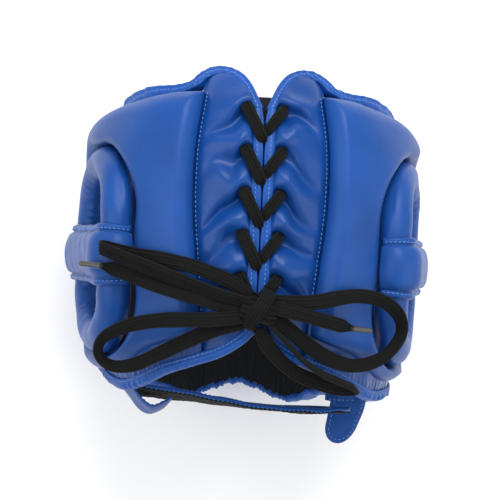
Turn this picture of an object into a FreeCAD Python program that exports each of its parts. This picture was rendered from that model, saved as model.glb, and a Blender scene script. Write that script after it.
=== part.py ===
import FreeCAD, Part
import math
import os

V = FreeCAD.Vector

# Headgear lying on its face: +X to the wearer's right, +Y to the crown,
# +Z out of the back of the head. All sizes are millimetres.

# Head form: every layer is an oval in XZ whose size follows the height Y.
HEAD_HALF_WIDTH = 86.0
HEAD_HALF_DEPTH = 98.0
HEAD_AXIS_Z = 127.0
WIDEST_Y = 10.0
CROWN_REACH = 116.0
CROWN_POWER = 3.2
NECK_REACH = 180.0
NECK_POWER = 2.2
FORM_LEVELS = (-120, -100, -75, -45, -15, 15, 45, 70, 90, 105, 114, 119)

# Layer thicknesses, counted outward from the head.
LINING = 2.0
COVER = 1.0
THIN_PAD = 9.8
THICK_SIDE = 30.0
THICK_BACK = 22.0
THICK_FRONT = 32.5
CHIN_FRONT = 39.0
BINDING = 10.8
FLARE = 24.0
FLARE_TOP = 15

# Back lacing.
SLIT_HALF = 1.6
SLIT_FOOT = -47.0
SLIT_TOP = 90.0
BINDING_WIDTH = 5.0
HOLE_X = 11.0
TOP_HOLE_Y = 88.0
ROW_PITCH = 26.2
ROWS = 5
LACE_WIDTH = 9.0
LACE_THICKNESS = 1.3
LACE_LIFT = 12.0
UNDER_LIFT = -1.2
BUNCH_HALF_X = 1.3
BUNCH_HALF_Y = 3.2
SLOT_LENGTH = 10.4
SLOT_WIDTH = 2.6

# Ear rings and their cross bands.
RING_TUBE = 11.5
RING_CORE = 10.0
RING_CLEARANCE = 0.6
RING_REAR = V(88.0, 0, 200.0)
RING_FRONT = V(106.0, 0, 111.0)
RING_MIDDLE_Y = -4.0
RING_HALF_HEIGHT = 56.0
RING_CORNER = 40.0
BAND_MIDDLE_Y = -7.0
BAND_HEIGHT = 37.0
BAND_FOAM = 5.8
BAND_COVER = 1.2

# Front pieces.
FRONT_SPLIT_Z = 78.0
BROW_SPLIT_Y = 8.0
CHIN_HALF_WIDTH = 34.0

# Hem round the neck edge.
HEM_HALF = 3.5

# Chin strap and tongue.
STRAP_LOW_Z = 136.0
STRAP_WIDTH = 38.0
STRAP_THICKNESS = 2.4
PILE_THICKNESS = 1.4
TONGUE_LEFT = 55.0
TONGUE_RIGHT = 81.0
TONGUE_TOP = -99.6
TONGUE_TIP = -128.0
TONGUE_LOW_Z = 126.0
TONGUE_THICKNESS = 4.0
HOOK_THICKNESS = 0.8

# Laces of the bow.
CORD_DIAMETER = 2.6
AGLET_RADIUS = 1.9
AGLET_LENGTH = 14.0

# The frame's origin is under the middle of the whole piece's box.
ORIGIN_SHIFT_Y = 6.0

FAR = 300.0


def fullness(y):
    """Share of the head's full width and depth that is left at height y."""
    if y > WIDEST_Y:
        share = (y - WIDEST_Y) / CROWN_REACH
        power = CROWN_POWER
    else:
        share = (WIDEST_Y - y) / NECK_REACH
        power = NECK_POWER
    return (1.0 - share ** power) ** (1.0 / power)


def oval(y, side, back, front):
    """Half width, half depth and centre z of a layer's oval at height y."""
    width = HEAD_HALF_WIDTH * fullness(y) + side
    depth = HEAD_HALF_DEPTH * fullness(y) + (back + front) / 2.0
    return width, depth, HEAD_AXIS_Z + (back - front) / 2.0


def back_z(x, y, side, back, front):
    """Height of a layer's rear surface over the point (x, y)."""
    width, depth, middle = oval(y, side, back, front)
    return middle + depth * math.sqrt(1.0 - (x / width) ** 2)


def form(side, back, front, top=FORM_LEVELS[-1]):
    """Solid enclosed by one layer surface, up to the level top."""
    wires = []
    for y in [level for level in FORM_LEVELS if level <= top]:
        width, depth, middle = oval(y, side, back, front)
        centre = V(0, y, middle)
        ring = Part.Ellipse(centre + V(0, 0, depth), centre + V(width, 0, 0), centre)
        wires.append(Part.Wire(ring.toShape()))
    return Part.makeLoft(wires, True, False)


def outline(runs, place):
    """Face bounded by runs of points; a run of two is straight, a longer one is smooth."""
    edges = []
    for run in runs:
        points = [place(u, v) for u, v in run]
        if len(points) == 2:
            edges.append(Part.LineSegment(points[0], points[1]).toShape())
        else:
            curve = Part.BSplineCurve()
            curve.interpolate(points)
            edges.append(curve.toShape())
    return Part.Face(Part.Wire(edges))


def seen_from_back(runs, low=-FAR, high=2 * FAR):
    """Prism along Z over an outline given as (x, y)."""
    face = outline(runs, lambda u, v: V(u, v, low))
    return face.extrude(V(0, 0, high - low))


def seen_from_side(runs, low, high):
    """Prism along X over an outline given as (z, y)."""
    face = outline(runs, lambda u, v: V(low, v, u))
    return face.extrude(V(high - low, 0, 0))


def closed(points):
    """Runs of an outline with straight sides."""
    runs = []
    for index, point in enumerate(points):
        runs.append([point, points[(index + 1) % len(points)]])
    return runs


def slab(x0, x1, y0, y1, z0, z1):
    return Part.makeBox(x1 - x0, y1 - y0, z1 - z0, V(x0, y0, z0))


def mirrored(shape):
    return shape.mirror(V(0, 0, 0), V(1, 0, 0))


def keep(name, shape):
    """Write one node after checking that it is made of closed solids."""
    shape = shape.removeSplitter()
    solids = shape.Solids
    if not solids:
        raise ValueError(name + " has no solid")
    whole = solids[0] if len(solids) == 1 else Part.makeCompound(solids)
    whole = whole.translated(V(0, ORIGIN_SHIFT_Y, 0))
    if not whole.isValid():
        raise ValueError(name + " is not valid")
    whole.exportStep("parts/" + name + ".step")
    box = whole.optimalBoundingBox()
    print(name, len(solids), round(whole.Volume), [round(v, 1) for v in (
        box.XMin, box.YMin, box.ZMin, box.XMax, box.YMax, box.ZMax)])


def keep_pair(name, shape):
    keep(name + "_right", shape)
    keep(name + "_left", mirrored(shape))


# Outline curves of the right half, as (x, y) from behind; they run on past the form's widest point.
CURVE_END = 125
SIDE_HEM_Y = -92.5
SIDE_TOP_END = 250
ABOVE = 130
BELOW = -100
BESIDE = 200
PANEL_CORNER_DROP = 3.5
SEAM = [(34, -90), (34.5, -52), (38, -15), (42, 25), (42, 62), (37.5, 97.5)]
LOBE = [(80, 86), (79, 93), (68, 99), (54, 101.5), (46, 105), (38, 112.5), (28, 116), (17, 113), (9, 105),
        (SLIT_HALF, SLIT_TOP)]
LOBE_INNER = [(42, 97.5), (40.5, 102), (35.5, 107.5), (28, 110.5), (20, 108.5), (13, 101.5),
              (SLIT_HALF + BINDING_WIDTH, SLIT_TOP)]
HEM_LINE = [(SLIT_HALF, SLIT_FOOT), (9, -55.5), (21, -63.5), (36, -69.5), (54, -76.5), (66, -83.5), (80, -90.5),
            (95, -92.8), (110, -93), (CURVE_END, SIDE_HEM_Y)]
PAD_FOOT = [(30, -50), (46, -56.5), (60, -61), (72, -66), (86, -76), (100, -83), (CURVE_END, -84)]
FRONT_TOP = [(0, 92), (40, 90), (75, 84), (105, 79), (CURVE_END, 78)]
FRONT_FOOT = [(CURVE_END, SIDE_HEM_Y), (100, -93), (70, -98), (46, -104), (22, -98), (0, -93)]
SIDE_TOP = [(FRONT_SPLIT_Z, 78), (150, 80), (190, 86), (206, 91.5), (224, 96.5), (SIDE_TOP_END, 98)]


def shifted(points, by):
    return [(x, y + by) for x, y in points]


def lace_panel_outline():
    inner = SLIT_HALF + BINDING_WIDTH
    foot = [(x, y) for x, y in shifted(HEM_LINE, HEM_HALF) if x <= 36]
    foot[0] = (inner, foot[0][1] - PANEL_CORNER_DROP)
    seam = [(35.0, foot[-1][1])] + SEAM[1:]
    foot[-1] = seam[0]
    return [foot, seam, [SEAM[-1], LOBE_INNER[0]], LOBE_INNER, [LOBE_INNER[-1], foot[0]]]


def slit_binding_outline():
    inner = SLIT_HALF + BINDING_WIDTH
    foot = SLIT_FOOT + HEM_HALF
    return closed([(SLIT_HALF, foot), (inner, foot - HEM_HALF), (inner, SLIT_TOP), (SLIT_HALF, SLIT_TOP)])


def top_binding_outline():
    """Band round the lobe that runs on as a flange along the side shell's top edge."""
    return [LOBE, [LOBE[-1], LOBE_INNER[-1]], LOBE_INNER[::-1], [LOBE_INNER[0], LOBE[0]]]


def hem_outline():
    upper = shifted(HEM_LINE, HEM_HALF)
    lower = shifted(HEM_LINE, -HEM_HALF)
    return [upper, [upper[-1], lower[-1]], lower[::-1], [lower[0], upper[0]]]


def front_hem_outline():
    upper = shifted(FRONT_FOOT, HEM_HALF)
    lower = shifted(FRONT_FOOT, -HEM_HALF)
    return [upper, [upper[-1], lower[-1]], lower[::-1], [lower[0], upper[0]]]


def behind_seam():
    """Everything outboard of the side seam."""
    top = SEAM[-1]
    foot = SEAM[0]
    return seen_from_back([SEAM, [top, (top[0], ABOVE)], [(top[0], ABOVE), (BESIDE, ABOVE)],
                           [(BESIDE, ABOVE), (BESIDE, foot[1])], [(BESIDE, foot[1]), foot]])


def side_profile():
    """The side shell's reach from its front edge to the seam, as (z, y)."""
    rear_foot = (SIDE_TOP_END, BELOW)
    front_foot = (FRONT_SPLIT_Z, BELOW)
    return [SIDE_TOP, [SIDE_TOP[-1], rear_foot], [rear_foot, front_foot], [front_foot, SIDE_TOP[0]]]


def above(line, front=-FAR):
    """Everything above a line drawn as seen from behind."""
    outer = (line[-1][0], ABOVE)
    inner = (line[0][0], ABOVE)
    return seen_from_back([line, [line[-1], outer], [outer, inner], [inner, line[0]]], front, FAR)


def pad_above_foot():
    return above(PAD_FOOT)


def rounded_frame(half_u, half_v, corner):
    """Closed wire of a rounded rectangle in the XY plane."""
    su = half_u - corner
    sv = half_v - corner
    edges = []
    for sign_u, sign_v, start in ((1, 1, 0), (-1, 1, 90), (-1, -1, 180), (1, -1, 270)):
        centre = V(sign_u * su, sign_v * sv, 0)
        arc_circle = Part.Circle(centre, V(0, 0, 1), corner)
        edges.append(Part.Arc(arc_circle, math.radians(start), math.radians(start + 90)).toShape())
    joined = []
    for index, arc in enumerate(edges):
        following = edges[(index + 1) % 4]
        joined.append(arc)
        if (arc.Vertexes[-1].Point - following.Vertexes[0].Point).Length > 1e-6:
            joined.append(Part.LineSegment(arc.Vertexes[-1].Point, following.Vertexes[0].Point).toShape())
    return Part.Wire(joined)


def ring_placement():
    """Puts a frame drawn in XY into the tilted plane of the right ear ring."""
    along = RING_FRONT - RING_REAR
    middle = (RING_FRONT + RING_REAR) * 0.5 + V(0, RING_MIDDLE_Y, 0)
    along.normalize()
    up = V(0, 1, 0)
    normal = along.cross(up)
    return FreeCAD.Placement(FreeCAD.Matrix(
        along.x, up.x, normal.x, middle.x,
        along.y, up.y, normal.y, middle.y,
        along.z, up.z, normal.z, middle.z,
        0, 0, 0, 1))


def ring_half_width():
    return (RING_FRONT - RING_REAR).Length / 2.0


def ring_tube(radius):
    """Padded tube swept round the ear ring's centre line."""
    half = ring_half_width()
    path = rounded_frame(half, RING_HALF_HEIGHT, RING_CORNER)
    start = path.Edges[0].Vertexes[0].Point
    section = Part.Wire(Part.Circle(start, V(0, 1, 0), radius).toShape())
    tube = path.makePipeShell([section], True, False)
    tube.Placement = ring_placement()
    return tube


def ear_cutout():
    """Prism along X that frees the ear ring from the side shell."""
    lean = (RING_REAR.z - RING_FRONT.z) / (2.0 * ring_half_width())
    margin = RING_TUBE + RING_CLEARANCE
    half_z = ring_half_width() * lean + margin
    frame = rounded_frame(half_z, RING_HALF_HEIGHT + margin, RING_CORNER + margin)
    face = Part.Face(frame)
    prism = face.extrude(V(0, 0, FAR))
    middle_z = (RING_REAR.z + RING_FRONT.z) / 2.0
    prism.Placement = FreeCAD.Placement(FreeCAD.Matrix(
        0, 0, 1, 20,
        0, 1, 0, RING_MIDDLE_Y,
        -1, 0, 0, middle_z,
        0, 0, 0, 1))
    return prism


def band_strip(inner, outer):
    """Belt over the outside of the ring's two upright limbs."""
    along = RING_FRONT - RING_REAR
    along.normalize()
    outward = V(-along.z, 0, along.x)
    outward = outward if outward.x > 0 else outward * -1
    low = BAND_MIDDLE_Y - BAND_HEIGHT / 2.0

    def around(centre, radius, degrees):
        """Point on a limb; 0 is outward, positive turns to the rear."""
        angle = math.radians(degrees)
        reach = outward * math.cos(angle) - along * math.sin(angle)
        return centre + reach * radius + V(0, low, 0)

    edges = []
    for radius in (inner, outer):
        rear = Part.Arc(around(RING_REAR, radius, 100), around(RING_REAR, radius, 50),
                        around(RING_REAR, radius, 0)).toShape()
        run = Part.LineSegment(around(RING_REAR, radius, 0), around(RING_FRONT, radius, 0)).toShape()
        front = Part.Arc(around(RING_FRONT, radius, 0), around(RING_FRONT, radius, -50),
                         around(RING_FRONT, radius, -100)).toShape()
        edges.append([rear, run, front])
    start = Part.LineSegment(around(RING_REAR, outer, 100), around(RING_REAR, inner, 100)).toShape()
    end = Part.LineSegment(around(RING_FRONT, inner, -100), around(RING_FRONT, outer, -100)).toShape()
    wire = Part.Wire(Part.__sortEdges__(edges[0] + [end] + edges[1] + [start]))
    return Part.Face(wire).extrude(V(0, BAND_HEIGHT, 0))


def face_opening():
    """Opening from brow to chin guard, as a prism along Z."""
    points = [(0, 26), (38, 21), (56, -6), (47, -36), (22, -48), (0, -50),
              (-22, -48), (-47, -36), (-56, -6), (-38, 21)]
    curve = Part.BSplineCurve()
    curve.interpolate([V(x, y, -FAR) for x, y in points], PeriodicFlag=True)
    return Part.Face(Part.Wire(curve.toShape())).extrude(V(0, 0, 2 * FAR))


def front_region():
    """Outline of the forehead, cheeks and chin guard, before they are split."""
    mirror_top = [(-x, y) for x, y in FRONT_TOP[::-1]]
    mirror_foot = [(-x, y) for x, y in FRONT_FOOT[::-1]]
    top = mirror_top + FRONT_TOP[1:]
    foot = shifted(FRONT_FOOT + mirror_foot[1:], HEM_HALF)
    prism = seen_from_back([top, [top[-1], foot[0]], foot, [foot[-1], top[0]]], -FAR, FRONT_SPLIT_Z)
    return prism.cut(face_opening())


def plank(start, end, across, width=LACE_WIDTH):
    """Flat straight run of lace between two points, lying along the across direction."""
    run = end - start
    through = run.cross(across)
    through.normalize()
    side = through.cross(run)
    side.normalize()
    corner = start - side * (width / 2.0) - through * (LACE_THICKNESS / 2.0)
    corners = [corner, corner + side * width, corner + side * width + through * LACE_THICKNESS,
               corner + through * LACE_THICKNESS]
    return Part.Face(Part.makePolygon(corners + [corners[0]])).extrude(run)


def hole_middle(side, row):
    return V(side * HOLE_X, TOP_HOLE_Y - row * ROW_PITCH, 0)


def lace_place(point, lift):
    """The lace's middle over or under the panel at a point."""
    return V(point.x, point.y, back_z(point.x, point.y, lift, lift, lift))


def surface_across(point, across, lift):
    """The across direction, tilted to lie in the panel's surface."""
    ahead = lace_place(point + across * 4.0, lift)
    behind = lace_place(point - across * 4.0, lift)
    tilted = ahead - behind
    tilted.normalize()
    return tilted


def lace_directions(side):
    """Direction of a leg from its hole to the next hole on the other side, and its width direction."""
    run = V(-side * 2 * HOLE_X, -ROW_PITCH, 0)
    run.normalize()
    return run, V(-run.y, run.x, 0)


def lace_leg(side, row):
    """One leg: up through its hole, over the panel to the slit, and under the other panel."""
    run, across = lace_directions(side)
    start = hole_middle(side, row)
    crossing = V(0, start.y - ROW_PITCH / 2.0, 0)
    top = lace_place(start, LACE_LIFT)
    solids = [plank(lace_place(start, UNDER_LIFT - 0.6), top + V(0, 0, 0.6), across)]
    solids.append(plank(top, lace_place(crossing, LACE_LIFT), surface_across(start, across, LACE_LIFT)))
    if row < ROWS - 1:
        following = hole_middle(-side, row + 1)
        solids.append(plank(lace_place(crossing, UNDER_LIFT), lace_place(following, UNDER_LIFT),
                            surface_across(following, across, UNDER_LIFT)))
    return solids


def lace_crossings():
    """The zigzag: all legs, the bunched lace in the slit at each crossing, and the link at the top."""
    solids = [plank(lace_place(hole_middle(-1, 0), UNDER_LIFT), lace_place(hole_middle(1, 0), UNDER_LIFT),
                    V(0, 1, -0.5))]
    for row in range(ROWS):
        for side in (1, -1):
            solids.extend(lace_leg(side, row))
        if row < ROWS - 1:
            y = TOP_HOLE_Y - (row + 0.5) * ROW_PITCH
            low = lace_place(V(0, y, 0), UNDER_LIFT).z
            high = lace_place(V(0, y, 0), LACE_LIFT).z
            solids.append(slab(-BUNCH_HALF_X, BUNCH_HALF_X, y - BUNCH_HALF_Y, y + BUNCH_HALF_Y, low, high))
    return solids[0].multiFuse(solids[1:])


def lace_slots():
    """Slots for the lace through both panels at every hole."""
    slots = []
    for side in (1, -1):
        for row in range(ROWS):
            run, across = lace_directions(side)
            centre = hole_middle(side, row) + V(0, 0, 180)
            corners = []
            for sa, sr in ((-1, -1), (1, -1), (1, 1), (-1, 1)):
                corners.append(centre + across * (sa * SLOT_LENGTH / 2) + run * (sr * SLOT_WIDTH / 2))
            slots.append(Part.Face(Part.makePolygon(corners + [corners[0]])).extrude(V(0, 0, 100)))
    return slots

def cord_tube(points, diameter):
    """Round tube along straight runs joined by tangent arcs; prints its length and radii."""
    places = [V(*point) for point in points]
    edges = []
    radii = []
    last = places[0]
    for index in range(1, len(places) - 1):
        before, here, after = places[index - 1:index + 2]
        back = before - here
        on = after - here
        shorter = min(back.Length, on.Length)
        back.normalize()
        on.normalize()
        turn = math.pi - back.getAngle(on)
        reach = 0.45 * shorter
        radius = reach / math.tan(turn / 2.0)
        radii.append(radius)
        enter = here + back * reach
        leave = here + on * reach
        bisector = back + on
        bisector.normalize()
        centre = here + bisector * (radius / math.cos(turn / 2.0))
        middle = centre - bisector * radius
        edges.append(Part.LineSegment(last, enter).toShape())
        edges.append(Part.Arc(enter, middle, leave).toShape())
        last = leave
    edges.append(Part.LineSegment(last, places[-1]).toShape())
    path = Part.Wire(edges)
    direction = places[1] - places[0]
    section = Part.Wire(Part.Circle(places[0], direction, diameter / 2.0).toShape())
    tube = path.makePipeShell([section], True, False)
    expected = math.pi * (diameter / 2.0) ** 2 * path.Length
    print("cord length", round(path.Length), "volume share", round(tube.Volume / expected, 4),
          "radii", [round(radius, 1) for radius in radii])
    return tube


def aglet(route):
    """Plastic tip that continues a lace end in its last direction."""
    end = V(*route[-1])
    return Part.makeCylinder(AGLET_RADIUS, AGLET_LENGTH, end, end - V(*route[-2]))


# Free laces of the bow, from the knot's left and right faces.
KNOT_LEFT = -4.5
KNOT_RIGHT = 6.5
LOOP_UPPER_LEFT = [
    (KNOT_LEFT, -28, 240), (-15, -20.5, 241.5), (-29, -15, 242.5), (-44, -10.5, 242), (-60.5, -8, 235.5),
    (-76, -6.5, 227.5), (-89, -4, 223.5), (-97, -2, 222.5), (-98, -3, 227.5), (-86, -7, 232), (-71.5, -12, 236.5),
    (-55.5, -17.5, 241.5), (-37.5, -23.5, 245), (-20, -29.5, 244.5), (KNOT_LEFT, -32.5, 242)]
END_LEFT = [
    (KNOT_LEFT, -37, 239.5), (-20.5, -34.5, 241), (-38, -30.5, 243), (-56, -26, 237.5), (-73, -20.5, 229.5),
    (-88, -15.5, 223.5), (-97, -14, 220.5)]
LOOP_LOWER_LEFT = [
    (KNOT_LEFT, -40.5, 240.5), (-18.5, -42.5, 243), (-35, -44, 244), (-52, -44.5, 240), (-69, -47, 232),
    (-84, -52, 222.5), (-95.5, -60, 213.5), (-97, -70.5, 207.5), (-88, -77.5, 207.5), (-73.5, -75.5, 213),
    (-59.5, -67.5, 221.5), (-45, -59.2, 230.5), (-31, -52, 237), (-17, -46.5, 239), (KNOT_LEFT, -44, 238)]
LOOP_RIGHT = [
    (KNOT_RIGHT, -30, 240), (21.5, -31.5, 241.5), (36.5, -30, 243.5), (50, -26.5, 242), (65, -24.5, 235.5),
    (80, -27.5, 226.5), (91, -36, 220), (94, -47, 216), (88.5, -58, 214.5), (79, -66, 215), (65, -70, 219),
    (50.5, -67, 225), (37, -60, 231.5), (25, -51, 236), (15.5, -43.5, 238.5), (KNOT_RIGHT, -39, 239)]
END_RIGHT = [
    (KNOT_RIGHT, -34, 241.5), (19, -36, 244.5), (32.5, -39, 246), (46, -42.3, 242.5), (59.5, -45.3, 235.5)]
LOOP_LOWER_RIGHT = [
    (1.5, -48, 239), (6.5, -57, 235.5), (16, -67.5, 229), (28, -76, 223), (42, -81.5, 218.5), (56, -84.5, 214),
    (64, -84.5, 212), (65.5, -83.3, 217.2), (54.5, -79.5, 222), (41, -74, 227.5), (30, -66.5, 232),
    (21, -57, 235.5), (13, -49, 238), (KNOT_RIGHT, -43.5, 239.5)]


LACE_ROUTES = {
    "bow_loop_upper_left": LOOP_UPPER_LEFT,
    "bow_loop_lower_left": LOOP_LOWER_LEFT,
    "bow_loop_right": LOOP_RIGHT,
    "bow_loop_lower_right": LOOP_LOWER_RIGHT,
    "lace_end_left": END_LEFT,
    "lace_end_right": END_RIGHT,
}


def bow_knot():
    """Knot of the bow, a rounded block."""
    block = slab(KNOT_LEFT, KNOT_RIGHT, -48, -26, 235.2, 244.6)
    upright = [edge for edge in block.Edges if edge.BoundBox.ZLength > 5]
    return block.makeFillet(2.6, upright)


def strap_profile(low, high):
    """Closed outline in XY between two offsets of the strap's middle curve."""
    middle = [(-69.5, -96.0), (-36, -98.6), (-2, -101.2), (34, -103.2), (70, -103.6)]
    upper = shifted(middle, high)
    lower = shifted(middle, low)
    return [upper, [upper[-1], lower[-1]], lower[::-1], [lower[0], upper[0]]]


STRAP_MASK_Y = -130


def strap_layer(low, high):
    """Strap layer, its free end rounded in the plane of the strap."""
    band = seen_from_back(strap_profile(low, high), STRAP_LOW_Z, STRAP_LOW_Z + STRAP_WIDTH)
    radius = STRAP_WIDTH / 2.0
    middle_z = STRAP_LOW_Z + radius
    tip = 70.0
    below = STRAP_MASK_Y
    arc = Part.Arc(V(tip - radius, below, middle_z - radius), V(tip, below, middle_z),
                   V(tip - radius, below, middle_z + radius)).toShape()
    corners = [V(tip - radius, below, middle_z + radius), V(-90, below, middle_z + radius),
               V(-90, below, middle_z - radius), V(tip - radius, below, middle_z - radius)]
    sides = [Part.LineSegment(corners[i], corners[i + 1]).toShape() for i in range(3)]
    mask = Part.Face(Part.Wire([arc] + sides)).extrude(V(0, 60, 0))
    return band.common(mask)


def tongue_layer(low_z, thickness, margin):
    """Tongue with a rounded tip, drawn as seen from behind."""
    left = TONGUE_LEFT + margin
    right = TONGUE_RIGHT - margin
    top = TONGUE_TOP - margin * 2
    radius = (right - left) / 2.0
    middle = (left + right) / 2.0
    tip = TONGUE_TIP + margin
    edges = [
        Part.LineSegment(V(left, tip + radius, low_z), V(left, top, low_z)).toShape(),
        Part.LineSegment(V(left, top, low_z), V(right, top, low_z)).toShape(),
        Part.LineSegment(V(right, top, low_z), V(right, tip + radius, low_z)).toShape(),
        Part.Arc(V(right, tip + radius, low_z), V(middle, tip, low_z), V(left, tip + radius, low_z)).toShape(),
    ]
    return Part.Face(Part.Wire(edges)).extrude(V(0, 0, thickness))


TAB_OUTLINE = [(57, -97.2), (82, -97.2), (84, -98.6), (94, -97.8), (96, -94), (96, -89), (80, -88), (66, -91),
               (57, -94.5)]


def tongue_tab():
    """Leather tab that holds the tongue to the neck edge."""
    corners = TAB_OUTLINE + TAB_OUTLINE[:1]
    runs = [list(pair) for pair in zip(corners[:-1], corners[1:])]
    return seen_from_back(runs, TONGUE_LOW_Z, TONGUE_LOW_Z + TONGUE_THICKNESS)


os.makedirs("parts", exist_ok=True)

inner_form = form(0, 0, 0)
lining_form = form(LINING, LINING, LINING)
thin_foam_form = form(THIN_PAD - COVER, THIN_PAD - COVER, THIN_PAD - COVER)
thin_form = form(THIN_PAD, THIN_PAD, THIN_PAD)
binding_form = form(BINDING, BINDING, BINDING)
thick_foam_form = form(THICK_SIDE - COVER, THICK_BACK - COVER, THICK_FRONT - COVER)
thick_form = form(THICK_SIDE, THICK_BACK, THICK_FRONT)
chin_foam_form = form(THICK_SIDE - COVER, THICK_BACK - COVER, CHIN_FRONT - COVER)
chin_form = form(THICK_SIDE, THICK_BACK, CHIN_FRONT)

lining_layer = lining_form.cut(inner_form)
thin_foam_layer = thin_foam_form.cut(lining_form)
thin_cover_layer = thin_form.cut(thin_foam_form)
skirt_layer = form(FLARE, THIN_PAD, FLARE, FLARE_TOP).cut(lining_form)
binding_layer = binding_form.cut(inner_form)
hem_layer = form(FLARE + COVER, BINDING, FLARE + COVER, FLARE_TOP).cut(inner_form)
thick_foam_layer = thick_foam_form.cut(lining_form)
thick_cover_layer = thick_form.cut(thick_foam_form)
chin_foam_layer = chin_foam_form.cut(lining_form)
chin_cover_layer = chin_form.cut(chin_foam_form)

standing = slab(-FAR, FAR, -FAR, FAR, 0, FAR)

# Back lacing panels and their bindings.
hem_prism = seen_from_back(hem_outline(), FRONT_SPLIT_Z, FAR)
panel = seen_from_back(lace_panel_outline(), 150, FAR).cut(behind_seam()).cut(hem_prism)
for slot in lace_slots():
    panel = panel.cut(slot)
keep_pair("lace_panel_foam", thin_foam_layer.common(panel))
keep_pair("lace_panel_cover", thin_cover_layer.common(panel))
keep_pair("lining_back", lining_layer.common(panel))
keep_pair("slit_binding", binding_layer.common(seen_from_back(slit_binding_outline(), 150, FAR)))

# Side shells with the ear cut-out, and the thin skirt under them.
side_region = behind_seam().common(seen_from_side(side_profile(), 20, FAR))
top_band = binding_layer.common(seen_from_back(top_binding_outline(), 140, FAR))
keep_pair("top_binding", top_band.cut(side_region))
side_region = side_region.cut(ear_cutout())
pad_region = side_region.common(pad_above_foot())
hem_top = above(shifted(HEM_LINE, HEM_HALF), FRONT_SPLIT_Z)
skirt_region = side_region.cut(pad_above_foot()).common(hem_top)
keep_pair("side_foam", thick_foam_layer.common(pad_region))
keep_pair("side_cover", thick_cover_layer.common(pad_region))
keep_pair("lining_side", lining_layer.common(pad_region))
keep_pair("neck_skirt", skirt_layer.common(skirt_region))
keep_pair("lining_skirt", lining_layer.common(skirt_region))
keep_pair("neck_hem", hem_layer.common(hem_prism))

# Forehead, cheeks and chin guard.
front_hem_prism = seen_from_back(front_hem_outline(), -FAR, FRONT_SPLIT_Z)
front = front_region().common(standing).cut(front_hem_prism).cut(mirrored(front_hem_prism))
brow = slab(-FAR, FAR, BROW_SPLIT_Y, FAR, -FAR, FAR)
cheek_side = slab(CHIN_HALF_WIDTH, FAR, -FAR, BROW_SPLIT_Y, -FAR, FAR)
chin_middle = slab(-CHIN_HALF_WIDTH, CHIN_HALF_WIDTH, -FAR, BROW_SPLIT_Y, -FAR, FAR)
keep("forehead_foam", thick_foam_layer.common(front).common(brow))
keep("forehead_cover", thick_cover_layer.common(front).common(brow))
keep("lining_forehead", lining_layer.common(front).common(brow))
keep_pair("cheek_foam", thick_foam_layer.common(front).common(cheek_side))
keep_pair("cheek_cover", thick_cover_layer.common(front).common(cheek_side))
keep_pair("lining_cheek", lining_layer.common(front).common(cheek_side))
keep("chin_guard_foam", chin_foam_layer.common(front).common(chin_middle))
keep("chin_guard_cover", chin_cover_layer.common(front).common(chin_middle))
keep("lining_chin", lining_layer.common(front).common(chin_middle))
front_hem = hem_layer.common(front_hem_prism)
keep("chin_hem", front_hem.fuse(mirrored(front_hem)))

# Ear rings and cross bands.
keep_pair("ear_ring_core", ring_tube(RING_CORE))
keep_pair("ear_ring_cover", ring_tube(RING_TUBE).cut(ring_tube(RING_CORE)))
side_pad = thick_form.cut(inner_form).common(pad_region)
foam_outer = RING_TUBE + BAND_FOAM
keep_pair("ear_band_foam", band_strip(RING_TUBE, foam_outer).cut(side_pad))
keep_pair("ear_band_cover", band_strip(foam_outer, foam_outer + BAND_COVER).cut(side_pad))

# Lace, knot and bow.
crossings = lace_crossings()
keep("lace_crossings", crossings)
knot = bow_knot().cut(crossings)
for name, route in LACE_ROUTES.items():
    tube = cord_tube(route, CORD_DIAMETER)
    knot = knot.cut(tube)
    keep(name, tube)
keep("bow_knot", knot)
keep("aglet_left", aglet(END_LEFT))
keep("aglet_right", aglet(END_RIGHT))

# Chin strap and tongue.
strap_outside = -(STRAP_THICKNESS + PILE_THICKNESS) / 2.0
strap_split = strap_outside + PILE_THICKNESS
keep("chin_strap", strap_layer(strap_split, strap_split + STRAP_THICKNESS))
keep("strap_pile", strap_layer(strap_outside, strap_split))
tab = tongue_tab().cut(hem_layer.common(hem_prism))
keep("tongue_tab", tab.cut(skirt_layer.common(skirt_region)))
keep("chin_tongue", tongue_layer(TONGUE_LOW_Z, TONGUE_THICKNESS, 0))
keep("tongue_hook_patch", tongue_layer(TONGUE_LOW_Z - HOOK_THICKNESS, HOOK_THICKNESS, 3.0))
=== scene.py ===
import math
import random

import bmesh
import bpy
import numpy as np
from mathutils import Matrix, Vector


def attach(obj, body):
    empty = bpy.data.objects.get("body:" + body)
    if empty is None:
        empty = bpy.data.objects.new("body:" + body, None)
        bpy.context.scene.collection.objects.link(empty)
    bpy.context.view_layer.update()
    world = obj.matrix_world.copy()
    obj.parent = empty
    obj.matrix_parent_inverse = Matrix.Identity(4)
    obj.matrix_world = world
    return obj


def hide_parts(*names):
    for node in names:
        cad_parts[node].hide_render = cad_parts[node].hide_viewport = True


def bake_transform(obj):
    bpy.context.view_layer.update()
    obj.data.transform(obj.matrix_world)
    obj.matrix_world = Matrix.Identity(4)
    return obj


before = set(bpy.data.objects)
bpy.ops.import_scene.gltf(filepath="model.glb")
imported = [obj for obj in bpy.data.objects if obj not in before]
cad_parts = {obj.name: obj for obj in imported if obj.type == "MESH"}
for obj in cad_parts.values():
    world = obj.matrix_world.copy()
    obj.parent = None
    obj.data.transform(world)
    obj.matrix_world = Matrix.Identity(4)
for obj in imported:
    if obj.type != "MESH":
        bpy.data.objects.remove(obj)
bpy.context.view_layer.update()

# ---------------------------------------------------------------- sizes, in millimetres
MM = 0.001
ORIGIN_SHIFT_Y = 6.0
HEAD_HALF_WIDTH = 86.0
HEAD_HALF_DEPTH = 98.0
HEAD_AXIS_Z = 127.0
WIDEST_Y = 10.0
CROWN_REACH = 116.0
CROWN_POWER = 3.2
NECK_REACH = 180.0
NECK_POWER = 2.2

LINING = 2.0
THIN = 9.8
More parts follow.
